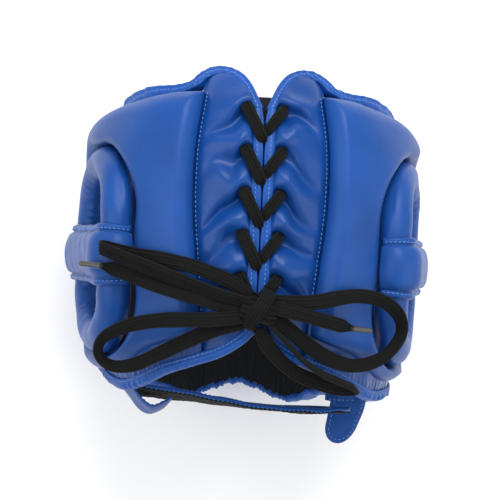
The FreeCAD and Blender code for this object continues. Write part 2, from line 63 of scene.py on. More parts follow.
# Distance of a form from the head at its side, back and front.
BARE_HEAD = (0.0, 0.0, 0.0)
LINED_HEAD = (LINING, LINING, LINING)
THICK = (30.0, 22.0, 32.5)
FLARE = 24.0

HOLE_X = 11.0
TOP_HOLE_Y = 88.0
ROW_PITCH = 26.2
ROWS = 5

FRONT_SPLIT_Z = 78.0
BROW_SPLIT_Y = 8.0

WAVE_COUNT = 9

STITCH_PITCH = 2.9
STITCH_LENGTH = 2.1
STITCH_WIDTH = 0.62
# Along one stitch: share of its half length, height and width of its section.
STITCH_STATIONS = ((-1, -0.42, 0.55), (-0.62, 0.05, 1.0), (0, 0.16, 1.05), (0.62, 0.05, 1.0),
                   (1, -0.42, 0.55))

SEAM = [(34, -90), (34.5, -52), (38, -15), (42, 25), (42, 62), (37.5, 97.5)]


# ---------------------------------------------------------------- the head form
def fullness(y):
    """Share of the head's full width and depth that is left at height y."""
    y = np.asarray(y, float)
    share = np.where(y > WIDEST_Y, (y - WIDEST_Y) / CROWN_REACH, (WIDEST_Y - y) / NECK_REACH)
    power = np.where(y > WIDEST_Y, CROWN_POWER, NECK_POWER)
    return np.maximum(1.0 - np.clip(share, 0, 1) ** power, 1e-4) ** (1.0 / power)


def oval(y, side, back, front):
    width = HEAD_HALF_WIDTH * fullness(y) + side
    depth = HEAD_HALF_DEPTH * fullness(y) + (back + front) / 2.0
    return width, depth, HEAD_AXIS_Z + (back - front) / 2.0


def over(x, y, side, back=None):
    """Points of a layer's rear surface over (x, y)."""
    back = side if back is None else back
    width, depth, middle = oval(y, side, back, back)
    rise = np.sqrt(np.maximum(1.0 - (np.asarray(x, float) / width) ** 2, 0.0))
    return np.stack(np.broadcast_arrays(x, y, middle + depth * rise), -1).astype(float)


def around(phi, y, fill, outer, inner=LINED_HEAD):
    """Points at angle phi round the head (0 at the back, quarter turn at +X).

    fill is 0 at the inner layer and 1 at the outer one.
    """
    side, back, front = (low + fill * (high - low) for low, high in zip(inner, outer))
    width, depth, middle = oval(y, side, back, front)
    parts = np.broadcast_arrays(width * np.sin(phi), y, middle + depth * np.cos(phi))
    return np.stack(parts, -1).astype(float)


def phi_at_x(x, y, side=THICK[0]):
    """Angle at which the rear of a layer has the given x."""
    width = HEAD_HALF_WIDTH * fullness(y) + side
    return np.arcsin(np.clip(np.asarray(x, float) / width, -1, 1))


def phi_at_z(z, y, outer=THICK):
    _, depth, middle = oval(y, *outer)
    return np.arccos(np.clip((np.asarray(z, float) - middle) / depth, -1, 1))


def smooth(t):
    t = np.clip(t, 0.0, 1.0)
    return t * t * (3.0 - 2.0 * t)


def rounded(t, power):
    """Rolled edge: 0 at the edge, 1 once t reaches 1."""
    t = np.clip(t, 0.0, 1.0)
    return (1.0 - (1.0 - t) ** power) ** (1.0 / power)


def bump(t, width):
    """Bell curve: 1 at t = 0, falling away over width."""
    return np.exp(-(np.asarray(t, float) / width) ** 2)


def waves(seed, u, v, size):
    """Smooth seeded noise of about unit height; size is its wavelength."""
    draw = random.Random(seed)
    total = np.zeros(np.broadcast(u, v).shape)
    for _ in range(WAVE_COUNT):
        angle = draw.uniform(0, 2 * math.pi)
        rate = 2 * math.pi / (size * draw.uniform(0.7, 1.6))
        shift = draw.uniform(0, 2 * math.pi)
        total = total + np.sin(rate * (u * math.cos(angle) + v * math.sin(angle)) + shift)
    return total / math.sqrt(WAVE_COUNT)


def spline(points, count):
    """Points along a smooth curve through a few given ones, evenly spaced along its length."""
    p = np.asarray(points, float)
    if len(p) == 2:
        return p[0] + np.linspace(0, 1, count)[:, None] * (p[1] - p[0])
    ends = np.vstack([2 * p[0] - p[1], p, 2 * p[-1] - p[-2]])
    fine = []
    for i in range(1, len(ends) - 2):
        a, b, c, d = ends[i - 1:i + 3]
        t = np.linspace(0, 1, 40, endpoint=i == len(ends) - 3)[:, None]
        fine.append(0.5 * (2 * b + (c - a) * t + (2 * a - 5 * b + 4 * c - d) * t ** 2
                           + (3 * b - a - 3 * c + d) * t ** 3))
    return resampled(np.vstack(fine), count)


def distances(line):
    """Distance of each point of a line from its start, along the line."""
    return np.concatenate([[0], np.cumsum(np.linalg.norm(np.diff(line, axis=0), axis=1))])


def resampled(line, count):
    along = distances(line)
    wanted = np.linspace(0, along[-1], count)
    return np.stack([np.interp(wanted, along, line[:, k]) for k in range(line.shape[1])], -1)


def unit(vectors):
    """The same directions, each of length 1."""
    return vectors / np.linalg.norm(vectors, axis=-1, keepdims=True)


def from_axis(points):
    """Directions from the head's long axis to the points, square to that axis."""
    away = points - (0, 0, HEAD_AXIS_Z)
    away[..., 1] = 0
    return unit(away)


def length_of(line):
    return float(np.linalg.norm(np.diff(line, axis=0), axis=1).sum())


def curve_value(points, at):
    """Second coordinate of an outline curve at a given first coordinate."""
    line = spline(points, 160)
    order = np.argsort(line[:, 0])
    return np.interp(at, line[order, 0], line[order, 1])


def seam_x(y):
    line = spline(SEAM, 160)
    return np.interp(y, line[:, 1], line[:, 0])


# ---------------------------------------------------------------- meshes
def metres(point):
    """A point given in the head's own millimetres, in the frame's metres."""
    return tuple((np.asarray(point, float) + (0.0, ORIGIN_SHIFT_Y, 0.0)) * MM)


def mesh_piece(name, verts, faces, material):
    """Mesh object from points in millimetres."""
    mesh = bpy.data.meshes.new(name)
    places = (np.asarray(verts, float) + (0.0, ORIGIN_SHIFT_Y, 0.0)) * MM
    mesh.from_pydata([tuple(p) for p in places], [], [tuple(map(int, f)) for f in faces])
    mesh.validate()
    mesh.polygons.foreach_set("use_smooth", [True] * len(mesh.polygons))
    mesh.update()
    piece = bpy.data.objects.new(name, mesh)
    bpy.context.scene.collection.objects.link(piece)
    mesh.materials.append(material)
    return piece


def quads(rows, columns, wrap_rows=False, wrap_columns=False, start=0, flip=False):
    """Faces of a grid of points stored row by row."""
    faces = []
    for i in range(rows if wrap_rows else rows - 1):
        i2 = (i + 1) % rows
        for j in range(columns if wrap_columns else columns - 1):
            j2 = (j + 1) % columns
            a, b, c, d = i * columns + j, i2 * columns + j, i2 * columns + j2, i * columns + j2
            face = (a, b, c, d) if not flip else (a, d, c, b)
            faces.append([start + k for k in face])
    return faces


def slab_piece(name, top, bottom, material, wrap=False):
    """Closed slab between two grids of the same shape; wrap closes it along its first axis."""
    rows, columns = top.shape[:2]
    size = rows * columns
    faces = quads(rows, columns, wrap) + quads(rows, columns, wrap, start=size, flip=True)

    def wall(ring, swap):
        for k in range(len(ring)):
            a = ring[k]
            b = ring[(k + 1) % len(ring)]
            face = [a, b, b + size, a + size]
            faces.append(face if swap else face[::-1])

    if wrap:
        wall([i * columns for i in range(rows)], False)
        wall([i * columns + columns - 1 for i in range(rows)], True)
    else:
        border = list(range(columns))
        border += [i * columns + columns - 1 for i in range(1, rows)]
        border += [(rows - 1) * columns + j for j in range(columns - 2, -1, -1)]
        border += [i * columns for i in range(rows - 2, 0, -1)]
        wall(border, True)
    verts = np.vstack([top.reshape(-1, 3), bottom.reshape(-1, 3)])
    return closed_piece(name, verts, faces, material)


def tube_piece(name, rings, material, tips=None):
    """Closed tube from one ring of points per station, with a fan of faces to a point at each end."""
    rows, columns = rings.shape[:2]
    faces = quads(rows, columns, wrap_columns=True)
    verts = rings.reshape(-1, 3)
    for first, tip in zip((0, (rows - 1) * columns), tips or (rings[0].mean(0), rings[-1].mean(0))):
        faces += [[first + k, first + (k + 1) % columns, len(verts)] for k in range(columns)]
        verts = np.vstack([verts, tip])
    return closed_piece(name, verts, faces, material)


def closed_piece(name, verts, faces, material):
    """Mesh object with its faces turned outward."""
    piece = mesh_piece(name, verts, faces, material)
    work = bmesh.new()
    work.from_mesh(piece.data)
    bmesh.ops.recalc_face_normals(work, faces=work.faces)
    work.to_mesh(piece.data)
    work.free()
    return piece


def fitted(piece, nodes=()):
    """Attach a piece to the headgear's body and hide the CAD nodes it stands for."""
    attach(piece, "headgear")
    if nodes:
        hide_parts(*nodes)


def frames(line, up):
    """Tangent, side and normal at each point of a line; up is the wished normal, one or one per point."""
    line = np.asarray(line, float)
    tangent = unit(np.gradient(line, axis=0))
    up = np.broadcast_to(np.asarray(up, float), line.shape)
    side = np.cross(tangent, up)
    side /= np.maximum(np.linalg.norm(side, axis=1, keepdims=True), 1e-9)
    normal = np.cross(side, tangent)
    return tangent, side, normal


def rounded_frame(half_x, half_y, corner, count, middle=(0.0, 0.0)):
    """Closed rectangle with round corners, counter-clockwise round its middle."""
    arcs = []
    for sx, sy, start in ((1, 1, 0), (-1, 1, 90), (-1, -1, 180), (1, -1, 270)):
        t = np.radians(np.linspace(start, start + 90, 40))
        arcs.append(np.stack([middle[0] + sx * (half_x - corner) + corner * np.cos(t),
                              middle[1] + sy * (half_y - corner) + corner * np.sin(t)], -1))
    return resampled(np.vstack(arcs + [arcs[0][:1]]), count)


class Stitching:
    """Collects stitches into one mesh: each is a short thread arched over its two holes."""

    def __init__(self, seed):
        self.verts = []
        self.faces = []
        self.draw = random.Random(seed)

    def along(self, line, up, lift=0.12):
        line = np.asarray(line, float)
        count = max(int(length_of(line) / STITCH_PITCH), 1)
        fine = resampled(line, count * 4 + 1)
        up = np.asarray(up, float)
        if up.ndim == 2:
            up = resampled(up, len(fine))
        tangent, side, normal = frames(fine, up)
        for k in range(count):
            i = k * 4 + 2
            skew = self.draw.uniform(-0.16, 0.16)
            t = tangent[i] + side[i] * skew
            centre = fine[i] + normal[i] * lift
            reach = STITCH_LENGTH * self.draw.uniform(0.92, 1.06) / 2
            base = len(self.verts)
            for share, drop, size in STITCH_STATIONS:
                ring = centre + t * (share * reach) + normal[i] * drop
                for turn in range(6):
                    angle = turn * math.pi / 3
                    spoke = side[i] * math.cos(angle) + normal[i] * math.sin(angle) * 0.7
                    self.verts.append(ring + spoke * (STITCH_WIDTH / 2 * size))
            for ring in range(4):
                for turn in range(6):
                    a = base + ring * 6 + turn
                    b = base + ring * 6 + (turn + 1) % 6
                    self.faces.append([a, b, b + 6, a + 6])
            self.faces.append([base + turn for turn in range(5, -1, -1)])
            self.faces.append([base + 24 + turn for turn in range(6)])

    def piece(self, name, material, body="headgear"):
        made = mesh_piece(name, self.verts, self.faces, material)
        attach(made, body)


# ---------------------------------------------------------------- materials
def node_material(name, base, roughness, sheen=0.0, coat=0.0, specular=0.5):
    """Principled material and the few nodes that every surface here is built from."""
    material = bpy.data.materials.new(name)
    material.use_nodes = True
    tree = material.node_tree
    shader = tree.nodes["Principled BSDF"]
    shader.inputs["Base Color"].default_value = (*base, 1)
    shader.inputs["Roughness"].default_value = roughness
    shader.inputs["Specular IOR Level"].default_value = specular
    shader.inputs["Sheen Weight"].default_value = sheen
    shader.inputs["Sheen Roughness"].default_value = 0.4
    shader.inputs["Coat Weight"].default_value = coat
    shader.inputs["Coat Roughness"].default_value = 0.3
    place = tree.nodes.new("ShaderNodeTexCoord")
    return material, tree, shader, place.outputs["Object"]


def texture(tree, kind, vector, **inputs):
    made = tree.nodes.new("ShaderNodeTex" + kind)
    for key, value in inputs.items():
        if key == "bands_direction":
            made.bands_direction = value
        else:
            made.inputs[key.replace("_", " ")].default_value = value
    tree.links.new(vector, made.inputs["Vector"])
    return made


def spread(tree, value, low, high):
    """Map a 0 to 1 value to low to high."""
    made = tree.nodes.new("ShaderNodeMapRange")
    made.inputs["To Min"].default_value = low
    made.inputs["To Max"].default_value = high
    tree.links.new(value, made.inputs["Value"])
    return made.outputs["Result"]


def two_tone(tree, shader, value, dark, light, low=0.3, high=0.7):
    ramp = tree.nodes.new("ShaderNodeValToRGB")
    ramp.color_ramp.elements[0].position = low
    ramp.color_ramp.elements[0].color = (*dark, 1)
    ramp.color_ramp.elements[1].position = high
    ramp.color_ramp.elements[1].color = (*light, 1)
    tree.links.new(value, ramp.inputs["Fac"])
    tree.links.new(ramp.outputs["Color"], shader.inputs["Base Color"])


def relief(tree, shader, layers):
    """Chain of bumps; each layer is (height output, strength, distance in mm)."""
    last = None
    for height, strength, distance in layers:
        made = tree.nodes.new("ShaderNodeBump")
        made.inputs["Strength"].default_value = strength
        made.inputs["Distance"].default_value = distance * MM
        tree.links.new(height, made.inputs["Height"])
        if last is not None:
            tree.links.new(last, made.inputs["Normal"])
        last = made.outputs["Normal"]
    tree.links.new(last, shader.inputs["Normal"])


def leather(name, dark, light, roughness=(0.36, 0.5), grain=0.5, wrinkle=0.25, gloss=0.19):
    """Coated leather: pebbled grain of about a millimetre, faint wrinkles and a softly varying sheen."""
    material, tree, shader, place = node_material(name, light, roughness[0], sheen=0.0, coat=0.05,
                                                  specular=gloss)
    pebbles = texture(tree, "Voronoi", place, Scale=850.0, Randomness=1.0)
    pores = texture(tree, "Noise", place, Scale=2300.0, Detail=3.0)
    folds = texture(tree, "Noise", place, Scale=150.0, Detail=6.0, Roughness=0.6, Distortion=0.6)
    cloud = texture(tree, "Noise", place, Scale=28.0, Detail=4.0)
    two_tone(tree, shader, cloud.outputs["Fac"], dark, light)
    tree.links.new(spread(tree, folds.outputs["Fac"], *roughness), shader.inputs["Roughness"])
    relief(tree, shader, [(pebbles.outputs["Distance"], grain, 0.1), (pores.outputs["Fac"], 0.2, 0.06),
                          (folds.outputs["Fac"], wrinkle, 0.35)])
    return material


def twisted_thread(name, base):
    material, tree, shader, place = node_material(name, base, 0.6, sheen=0.3)
    ply = texture(tree, "Wave", place, Scale=900.0, Distortion=2.0, Detail=2.0)
    # Painted shade: the grooves between the plies are coloured darker than the thread.
    two_tone(tree, shader, ply.outputs["Fac"], tuple(0.6 * c for c in base), base, 0.1, 0.8)
    relief(tree, shader, [(ply.outputs["Fac"], 0.5, 0.15)])
    return material


def knitted(name, base, highlight_tone):
    """Flat woven lace: rows of small slanting loops with a dusty nap; the raised loop tops carry a painted
    highlight and their edges painted shade.
    """
    material, tree, shader, place = node_material(name, base, 0.82, sheen=0.03, specular=0.16)
    uv = tree.nodes.new("ShaderNodeUVMap")
    uv.uv_map = "weave"
    rows = texture(tree, "Wave", uv.outputs["UV"], Scale=420.0, Distortion=3.0, Detail=2.0,
                   Detail_Scale=2.0, bands_direction="DIAGONAL")
    loops = texture(tree, "Voronoi", uv.outputs["UV"], Scale=1150.0, Randomness=0.35)
    nap = texture(tree, "Noise", place, Scale=3200.0, Detail=4.0)
    # Painted light: the lighter second colour on the raised loop tops is a painted highlight, the dark base
    # at the loop edges painted shade.
    two_tone(tree, shader, loops.outputs["Distance"], highlight_tone, base, 0.1, 0.65)
    tree.links.new(spread(tree, nap.outputs["Fac"], 0.7, 0.95), shader.inputs["Roughness"])
    relief(tree, shader, [(loops.outputs["Distance"], 0.9, -0.28), (rows.outputs["Fac"], 0.55, 0.2),
                          (nap.outputs["Fac"], 0.4, 0.12)])
    return material


def twill(name, base, highlight_tone):
    """Thin lining cloth: fine diagonal twill, its raised lines painted lighter as a highlight and its grooves
    left darker as painted shade.
    """
    material, tree, shader, place = node_material(name, base, 0.75, sheen=0.04, specular=0.2)
    turn = tree.nodes.new("ShaderNodeMapping")
    turn.inputs["Rotation"].default_value = (0.0, 0.5, 0.85)
    tree.links.new(place, turn.inputs["Vector"])
    lines = texture(tree, "Wave", turn.outputs["Vector"], Scale=330.0, Distortion=0.6, Detail=2.0)
    yarn = texture(tree, "Noise", place, Scale=1500.0, Detail=3.0)
    # Painted light: raised twill lines take the lighter highlight colour, the grooves the darker base as
    # painted shade.
    two_tone(tree, shader, lines.outputs["Fac"], base, highlight_tone, 0.2, 0.9)
    relief(tree, shader, [(lines.outputs["Fac"], 0.7, 0.25), (yarn.outputs["Fac"], 0.35, 0.15)])
    return material


def brushed(name, base, scale=900.0, height=0.9):
    """Loop pile or hook tape: a dense uneven nap."""
    material, tree, shader, place = node_material(name, base, 0.92, sheen=0.06, specular=0.12)
    loops = texture(tree, "Voronoi", place, Scale=scale, Randomness=0.9)
    nap = texture(tree, "Noise", place, Scale=scale * 2.4, Detail=5.0, Roughness=0.7)
    # Painted light: the raised nap is painted lighter as a highlight and the low nap darker as shade.
    two_tone(tree, shader, nap.outputs["Fac"], tuple(0.4 * c for c in base), tuple(2.4 * c for c in base))
    relief(tree, shader, [(loops.outputs["Distance"], height, 0.5), (nap.outputs["Fac"], 0.6, 0.3)])
    return material


def moulded(name, base, roughness):
    material, tree, shader, place = node_material(name, base, roughness, coat=0.2)
    flow = texture(tree, "Noise", place, Scale=400.0, Detail=3.0)
    gloss = spread(tree, flow.outputs["Fac"], roughness - 0.08, roughness + 0.14)
    tree.links.new(gloss, shader.inputs["Roughness"])
    two_tone(tree, shader, flow.outputs["Fac"], tuple(0.7 * c for c in base), tuple(1.3 * c for c in base))
    relief(tree, shader, [(flow.outputs["Fac"], 0.2, 0.1)])
    return material


# Darker and lighter tone of each leather.
BLUE = ((0.0055, 0.049, 0.220), (0.0068, 0.061, 0.270))
SOFT_BLUE = ((0.0045, 0.041, 0.190), (0.0055, 0.051, 0.235))
ROLLED_BLUE = ((0.0065, 0.058, 0.265), (0.009, 0.072, 0.320))
smooth_leather = leather("smooth_leather", *BLUE)
soft_leather = leather("soft_leather", *SOFT_BLUE, (0.25, 0.35), grain=0.3, wrinkle=0.35, gloss=0.21)
rolled_leather = leather("rolled_leather", *ROLLED_BLUE, grain=0.6, wrinkle=0.5)
thread = twisted_thread("thread", (0.065, 0.23, 0.66))
# The lace's second colour is a painted highlight on its raised loops.
lace_cloth = knitted("lace_cloth", (0.0015, 0.0017, 0.0016), (0.0075, 0.0082, 0.0078))
# The lining's second colour is a painted highlight on its raised twill lines.
lining_cloth = twill("lining_cloth", (0.0045, 0.005, 0.0065), (0.012, 0.0135, 0.019))
pile_cloth = brushed("pile_cloth", (0.004, 0.004, 0.005))
hook_tape = brushed("hook_tape", (0.012, 0.012, 0.014), scale=1300.0, height=1.0)
aglet_plastic = moulded("aglet_plastic", (0.035, 0.036, 0.038), 0.35)


# ---------------------------------------------------------------- camera, floor and light
# Angles are in degrees, the lens and AIM in millimetres, the distance and the floor in metres.
LEAN = -3.3
ROLL = 2.7
FOCAL_LENGTH = 125.2
CAMERA_DISTANCE = 1.17
AIM = (0, 0, 130)
SKY_STRENGTH = 0.75
FLOOR_HALF = 4.0
FLOOR_DROP = 0.0005


def camera():
    """The headgear lies on its face and is seen from straight above, a little from its left side."""
    lean = math.radians(LEAN)
    roll = math.radians(ROLL)
    back = Vector((math.sin(lean), 0.0, math.cos(lean)))
    right = Vector((0, 1, 0)).cross(back).normalized()
    up = back.cross(right)
    turned = right * math.cos(roll) + up * math.sin(roll)
    upright = up * math.cos(roll) - right * math.sin(roll)
    data = bpy.data.cameras.new("camera")
    data.sensor_width = 36.0
    data.sensor_fit = "HORIZONTAL"
    data.lens = FOCAL_LENGTH
    made = bpy.data.objects.new("camera", data)
    bpy.context.scene.collection.objects.link(made)
    target = Vector(metres(AIM))
    turn = Matrix((turned, upright, back)).transposed().to_4x4()
    made.matrix_world = Matrix.Translation(target + back * CAMERA_DISTANCE) @ turn
    bpy.context.scene.camera = made


def area_light(name, place, aim, size, power):
    data = bpy.data.lights.new(name, "AREA")
    data.shape = "DISK"
    data.size = size
    data.energy = power
    made = bpy.data.objects.new(name, data)
    bpy.context.scene.collection.objects.link(made)
    made.location = place
    made.rotation_euler = (Vector(aim) - Vector(place)).to_track_quat("-Z", "Y").to_euler()


def studio():
    scene = bpy.context.scene
    scene.view_settings.view_transform = "Standard"
    world = bpy.data.worlds.new("studio")
    scene.world = world
    world.use_nodes = True
    sky = world.node_tree.nodes["Background"]
    sky.inputs["Color"].default_value = (1.0, 1.0, 1.0, 1)
    sky.inputs["Strength"].default_value = SKY_STRENGTH
    area_light("key", (0.10, 0.75, 0.95), (0, 0.02, 0.12), 0.9, 11.0)
    area_light("fill", (-0.75, -0.1, 0.85), (0, 0, 0.12), 1.0, 4.5)
    area_light("rim", (0.8, -0.25, 0.7), (0, 0, 0.12), 0.9, 3.0)
    mesh = bpy.data.meshes.new("floor")
    corners = [(x * FLOOR_HALF, y * FLOOR_HALF, 0) for x, y in ((-1, -1), (1, -1), (1, 1), (-1, 1))]
    mesh.from_pydata(corners, [], [(0, 1, 2, 3)])
    floor = bpy.data.objects.new("floor", mesh)
    scene.collection.objects.link(floor)
    floor.location.z = -FLOOR_DROP
    paper = node_material("paper", (0.93, 0.93, 0.93), 0.9, specular=0.1)[0]
    mesh.materials.append(paper)


camera()
studio()


# ---------------------------------------------------------------- laces
# Free laces of the bow, from the knot's left and right faces.
KNOT_LEFT = -4.5
KNOT_RIGHT = 6.5
ROUTES = {
    "bow_loop_upper_left": [
        (KNOT_LEFT, -28, 240), (-15, -20.5, 241.5), (-29, -15, 242.5), (-44, -10.5, 242), (-60.5, -8, 235.5),
        (-76, -6.5, 227.5), (-89, -4, 223.5), (-97, -2, 222.5), (-98, -3, 227.5), (-86, -7, 232),
        (-71.5, -12, 236.5), (-55.5, -17.5, 241.5), (-37.5, -23.5, 245), (-20, -29.5, 244.5),
        (KNOT_LEFT, -32.5, 242)],
    "lace_end_left": [
        (KNOT_LEFT, -37, 239.5), (-20.5, -34.5, 241), (-38, -30.5, 243), (-56, -26, 237.5),
        (-73, -20.5, 229.5), (-88, -15.5, 223.5), (-97, -14, 220.5)],
    "bow_loop_lower_left": [
        (KNOT_LEFT, -40.5, 240.5), (-18.5, -42.5, 243), (-35, -44, 244), (-52, -44.5, 240), (-69, -47, 232),
        (-84, -52, 222.5), (-95.5, -60, 213.5), (-97, -70.5, 207.5), (-88, -77.5, 207.5), (-73.5, -75.5, 213),
        (-59.5, -67.5, 221.5), (-45, -59.2, 230.5), (-31, -52, 237), (-17, -46.5, 239),
        (KNOT_LEFT, -44, 238)],
    "bow_loop_right": [
        (KNOT_RIGHT, -30, 240), (21.5, -31.5, 241.5), (36.5, -30, 243.5), (50, -26.5, 242),
        (65, -24.5, 235.5), (80, -27.5, 226.5), (91, -36, 220), (94, -47, 216), (88.5, -58, 214.5),
        (79, -66, 215), (65, -70, 219), (50.5, -67, 225), (37, -60, 231.5), (25, -51, 236),
        (15.5, -43.5, 238.5), (KNOT_RIGHT, -39, 239)],
    "lace_end_right": [
        (KNOT_RIGHT, -34, 241.5), (19, -36, 244.5), (32.5, -39, 246), (46, -42.3, 242.5),
        (59.5, -45.3, 235.5)],
    "bow_loop_lower_right": [
        (1.5, -48, 239), (6.5, -57, 235.5), (16, -67.5, 229), (28, -76, 223), (42, -81.5, 218.5),
        (56, -84.5, 214), (64, -84.5, 212), (65.5, -83.3, 217.2), (54.5, -79.5, 222), (41, -74, 227.5),
        (30, -66.5, 232), (21, -57, 235.5), (13, -49, 238), (KNOT_RIGHT, -43.5, 239.5)],
}


def nurbs_line(name, points):
    """The smooth line of a route, read from a NURBS spline through its control points, in millimetres."""
    curve = bpy.data.curves.new(name, "CURVE")
    curve.dimensions = "3D"
    curve.resolution_u = 10
    spline_made = curve.splines.new("NURBS")
    spline_made.points.add(len(points) - 1)
    for point, control in zip(points, spline_made.points):
        control.co = (*point, 1.0)
    spline_made.order_u = 3
    spline_made.use_endpoint_u = True
    holder = bpy.data.objects.new(name + "_line", curve)
    bpy.context.scene.collection.objects.link(holder)
    mesh = bpy.data.meshes.new_from_object(holder.evaluated_get(bpy.context.evaluated_depsgraph_get()))
    line = np.array([v.co for v in mesh.vertices], float)
    bpy.data.objects.remove(holder)
    bpy.data.curves.remove(curve)
    bpy.data.meshes.remove(mesh)
    return line


def carried_normals(line):
    """Normals that start upright and are carried along a line with no twist of their own."""
    normals = np.zeros_like(line)
    now = np.array((0, 0, 1.0))
    for i, t in enumerate(unit(np.gradient(line, axis=0))):
        now = now - t * (now @ t)
        now /= np.linalg.norm(now)
        normals[i] = now
    return normals


def ribbon_profile(width, thickness, ribs):
    """Section of a flat tubular lace: rounded edges and lengthwise ribs on both faces."""
    t = np.linspace(0, 2 * math.pi, 44, endpoint=False)
    c, s = np.cos(t), np.sin(t)
    x = width / 2 * np.sign(c) * np.abs(c) ** 0.75
    y = thickness / 2 * np.sign(s) * np.abs(s) ** 0.6
    ridge = 1.0 + 0.42 * np.cos(2 * math.pi * ribs * x / width) * np.clip(np.abs(s) * 1.5, 0, 1)
    return np.stack([x, y * ridge], -1)


def ribbon(name, line, normals, width, thickness, seed, taper, pinch, ribs=4.5):
    """Flat lace along a line. taper is the width left at each end, reached over pinch millimetres."""
    along = distances(line)
    total = along[-1]
    count = max(int(total / 0.9), 12)
    at = np.linspace(0, total, count)
    path = np.stack([np.interp(at, along, line[:, k]) for k in range(3)], -1)
    up = np.stack([np.interp(at, along, normals[:, k]) for k in range(3)], -1)
    tangent, side, normal = frames(path, up)
    profile = ribbon_profile(width, thickness, ribs)
    draw = random.Random(seed)
    shift = draw.uniform(0, 6)
    wide = 1 + 0.035 * np.sin(at / 11 + shift) + 0.02 * np.sin(at / 3.7 + shift * 2)
    for end, distance in ((0, at), (1, total - at)):
        wide = wide * (taper[end] + (1 - taper[end]) * smooth(distance / pinch))
    thick = 1 + 0.5 * (1 - wide) * 1.6
    bow = 0.22 * np.sin(at / 5.3 + shift) + 0.15 * np.sin(at / 2.1 + 2 * shift)
    dish = (bow[:, None] * (1 - (2 * profile[None, :, 0] / width) ** 2) * 0.5)[..., None]
    points = (path[:, None, :] + side[:, None, :] * (profile[None, :, 0:1] * wide[:, None, None])
              + normal[:, None, :] * (profile[None, :, 1:2] * thick[:, None, None] + dish))
    tips = (points[0].mean(0) - tangent[0] * 0.5, points[-1].mean(0) + tangent[-1] * 0.5)
    piece = tube_piece(name, points, lace_cloth, tips)
    weave_map(piece, at, profile)
    fitted(piece)
    return piece, path


def weave_map(piece, at, profile):
    """UV map whose unit is the metre: along the lace and round its section."""
    rows, columns = len(at), len(profile)
    girth = distances(profile)
    coords = np.zeros((rows * columns + 2, 2))
    coords[:rows * columns, 0] = np.repeat(at, columns) * MM
    coords[:rows * columns, 1] = np.tile(girth, rows) * MM
    layer = piece.data.uv_layers.new(name="weave")
    index = np.zeros(len(piece.data.loops), int)
    piece.data.loops.foreach_get("vertex_index", index)
    layer.data.foreach_set("uv", coords[index].ravel())


def leaning(line, lean_deg, centre, reach):
    """Normals of a loop that lies flat on its strands and leans inward round its bend."""
    tangent, side, _ = frames(line, (0, 0, 1))
    at = np.linspace(0, 1, len(line))
    lean = np.radians(lean_deg) * bump(at - centre, reach)
    bend = np.sign((np.gradient(tangent, axis=0) * side).sum(1).mean())
    up = np.cross(side, tangent)
    return up * np.cos(lean)[:, None] + side * (bend * np.sin(lean))[:, None]


LEG_WIDTH = 7.2
FREE_WIDTH = 9.2
FREE_THICKNESS = 2.3


def aglet(name, start, direction, node):
    """Crimped plastic tip on a lace end."""
    along = np.asarray(direction, float) / np.linalg.norm(direction)
    at = np.array([-2.0, -1.2, -0.4, 0.4, 3.0, 6.0, 9.0, 12.0, 13.2, 13.8, 14.0])
    radius = np.array([1.7, 1.95, 2.05, 1.95, 1.85, 1.82, 1.8, 1.78, 1.7, 1.35, 0.6])
    line = np.asarray(start, float) + at[:, None] * along
    _, side, normal = frames(line, (0, 0, 1))
    turn = np.linspace(0, 2 * math.pi, 18, endpoint=False)[None, :, None]
    rings = (line[:, None, :] + side[:, None, :] * (np.cos(turn) * radius[:, None, None])
             + normal[:, None, :] * (0.88 * np.sin(turn) * radius[:, None, None]))
    piece = tube_piece(name, rings, aglet_plastic)
    fitted(piece, (node,))
    return piece


def bow():
    tips = {
        "lace_end_left": aglet("aglet_tip_left", ROUTES["lace_end_left"][-1], (-0.95, 0.06, -0.3),
                               "aglet_left"),
        "lace_end_right": aglet("aglet_tip_right", ROUTES["lace_end_right"][-1], (0.92, -0.08, -0.38),
                                "aglet_right")}
    for seed, (name, route) in enumerate(ROUTES.items()):
        line = nurbs_line(name, route)
        taper = (0.72, 0.72)
        width = FREE_WIDTH
        if name in ("bow_loop_upper_left", "bow_loop_lower_right"):
            normals = carried_normals(line)
        elif name == "bow_loop_lower_left":
            normals = leaning(line, 58, 0.5, 0.16)
        elif name == "bow_loop_right":
            normals = leaning(line, 50, 0.5, 0.17)
        else:
            normals = np.broadcast_to((0.0, 0.0, 1.0), line.shape)
            taper = (0.8, 0.4)
            width = FREE_WIDTH if name == "lace_end_left" else 9.0
        piece, path = ribbon("flat_" + name, line, normals, width, FREE_THICKNESS, seed=seed + 3, taper=taper,
                             pinch=9.0)
        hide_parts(name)


def knot():
    """Reef knot of the bow: two flat wraps over the strands, one across the other."""
    wraps = (
        ("knot_wrap", [(-3.5, -47.5, 236.5), (-5.2, -46.5, 240.5), (-3.8, -43.5, 244.2), (-0.5, -38.5, 246.6),
                       (2.8, -33.0, 246.6), (5.6, -28.3, 244.6), (7.2, -25.6, 240.8), (6.0, -25.0, 236.4)],
         8.6, 2.6),
        ("knot_core", [(-8.5, -34.5, 240.5), (-4.0, -35.5, 242.2), (1.5, -36.5, 242.8), (6.5, -37.5, 242.2),
                       (10.5, -38.5, 240.2)], 15.0, 6.4),
        ("knot_under", [(-9.0, -30.0, 236.0), (-3.0, -32.0, 237.4), (2.0, -37.0, 237.6), (8.0, -43.0, 236.4)],
         13.0, 5.0))
    for index, (name, points, width, thickness) in enumerate(wraps):
        line = spline(points, 60)
        normals = np.array([(0.15, 0.1, 1.0)] * len(line))
        if name == "knot_wrap":
            normals = line - (1.0, -36.5, 239.0)
        piece, _ = ribbon(name, line, normals, width, thickness, seed=index + 20, taper=(0.8, 0.8),
                          pinch=4.0)
        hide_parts("bow_knot")


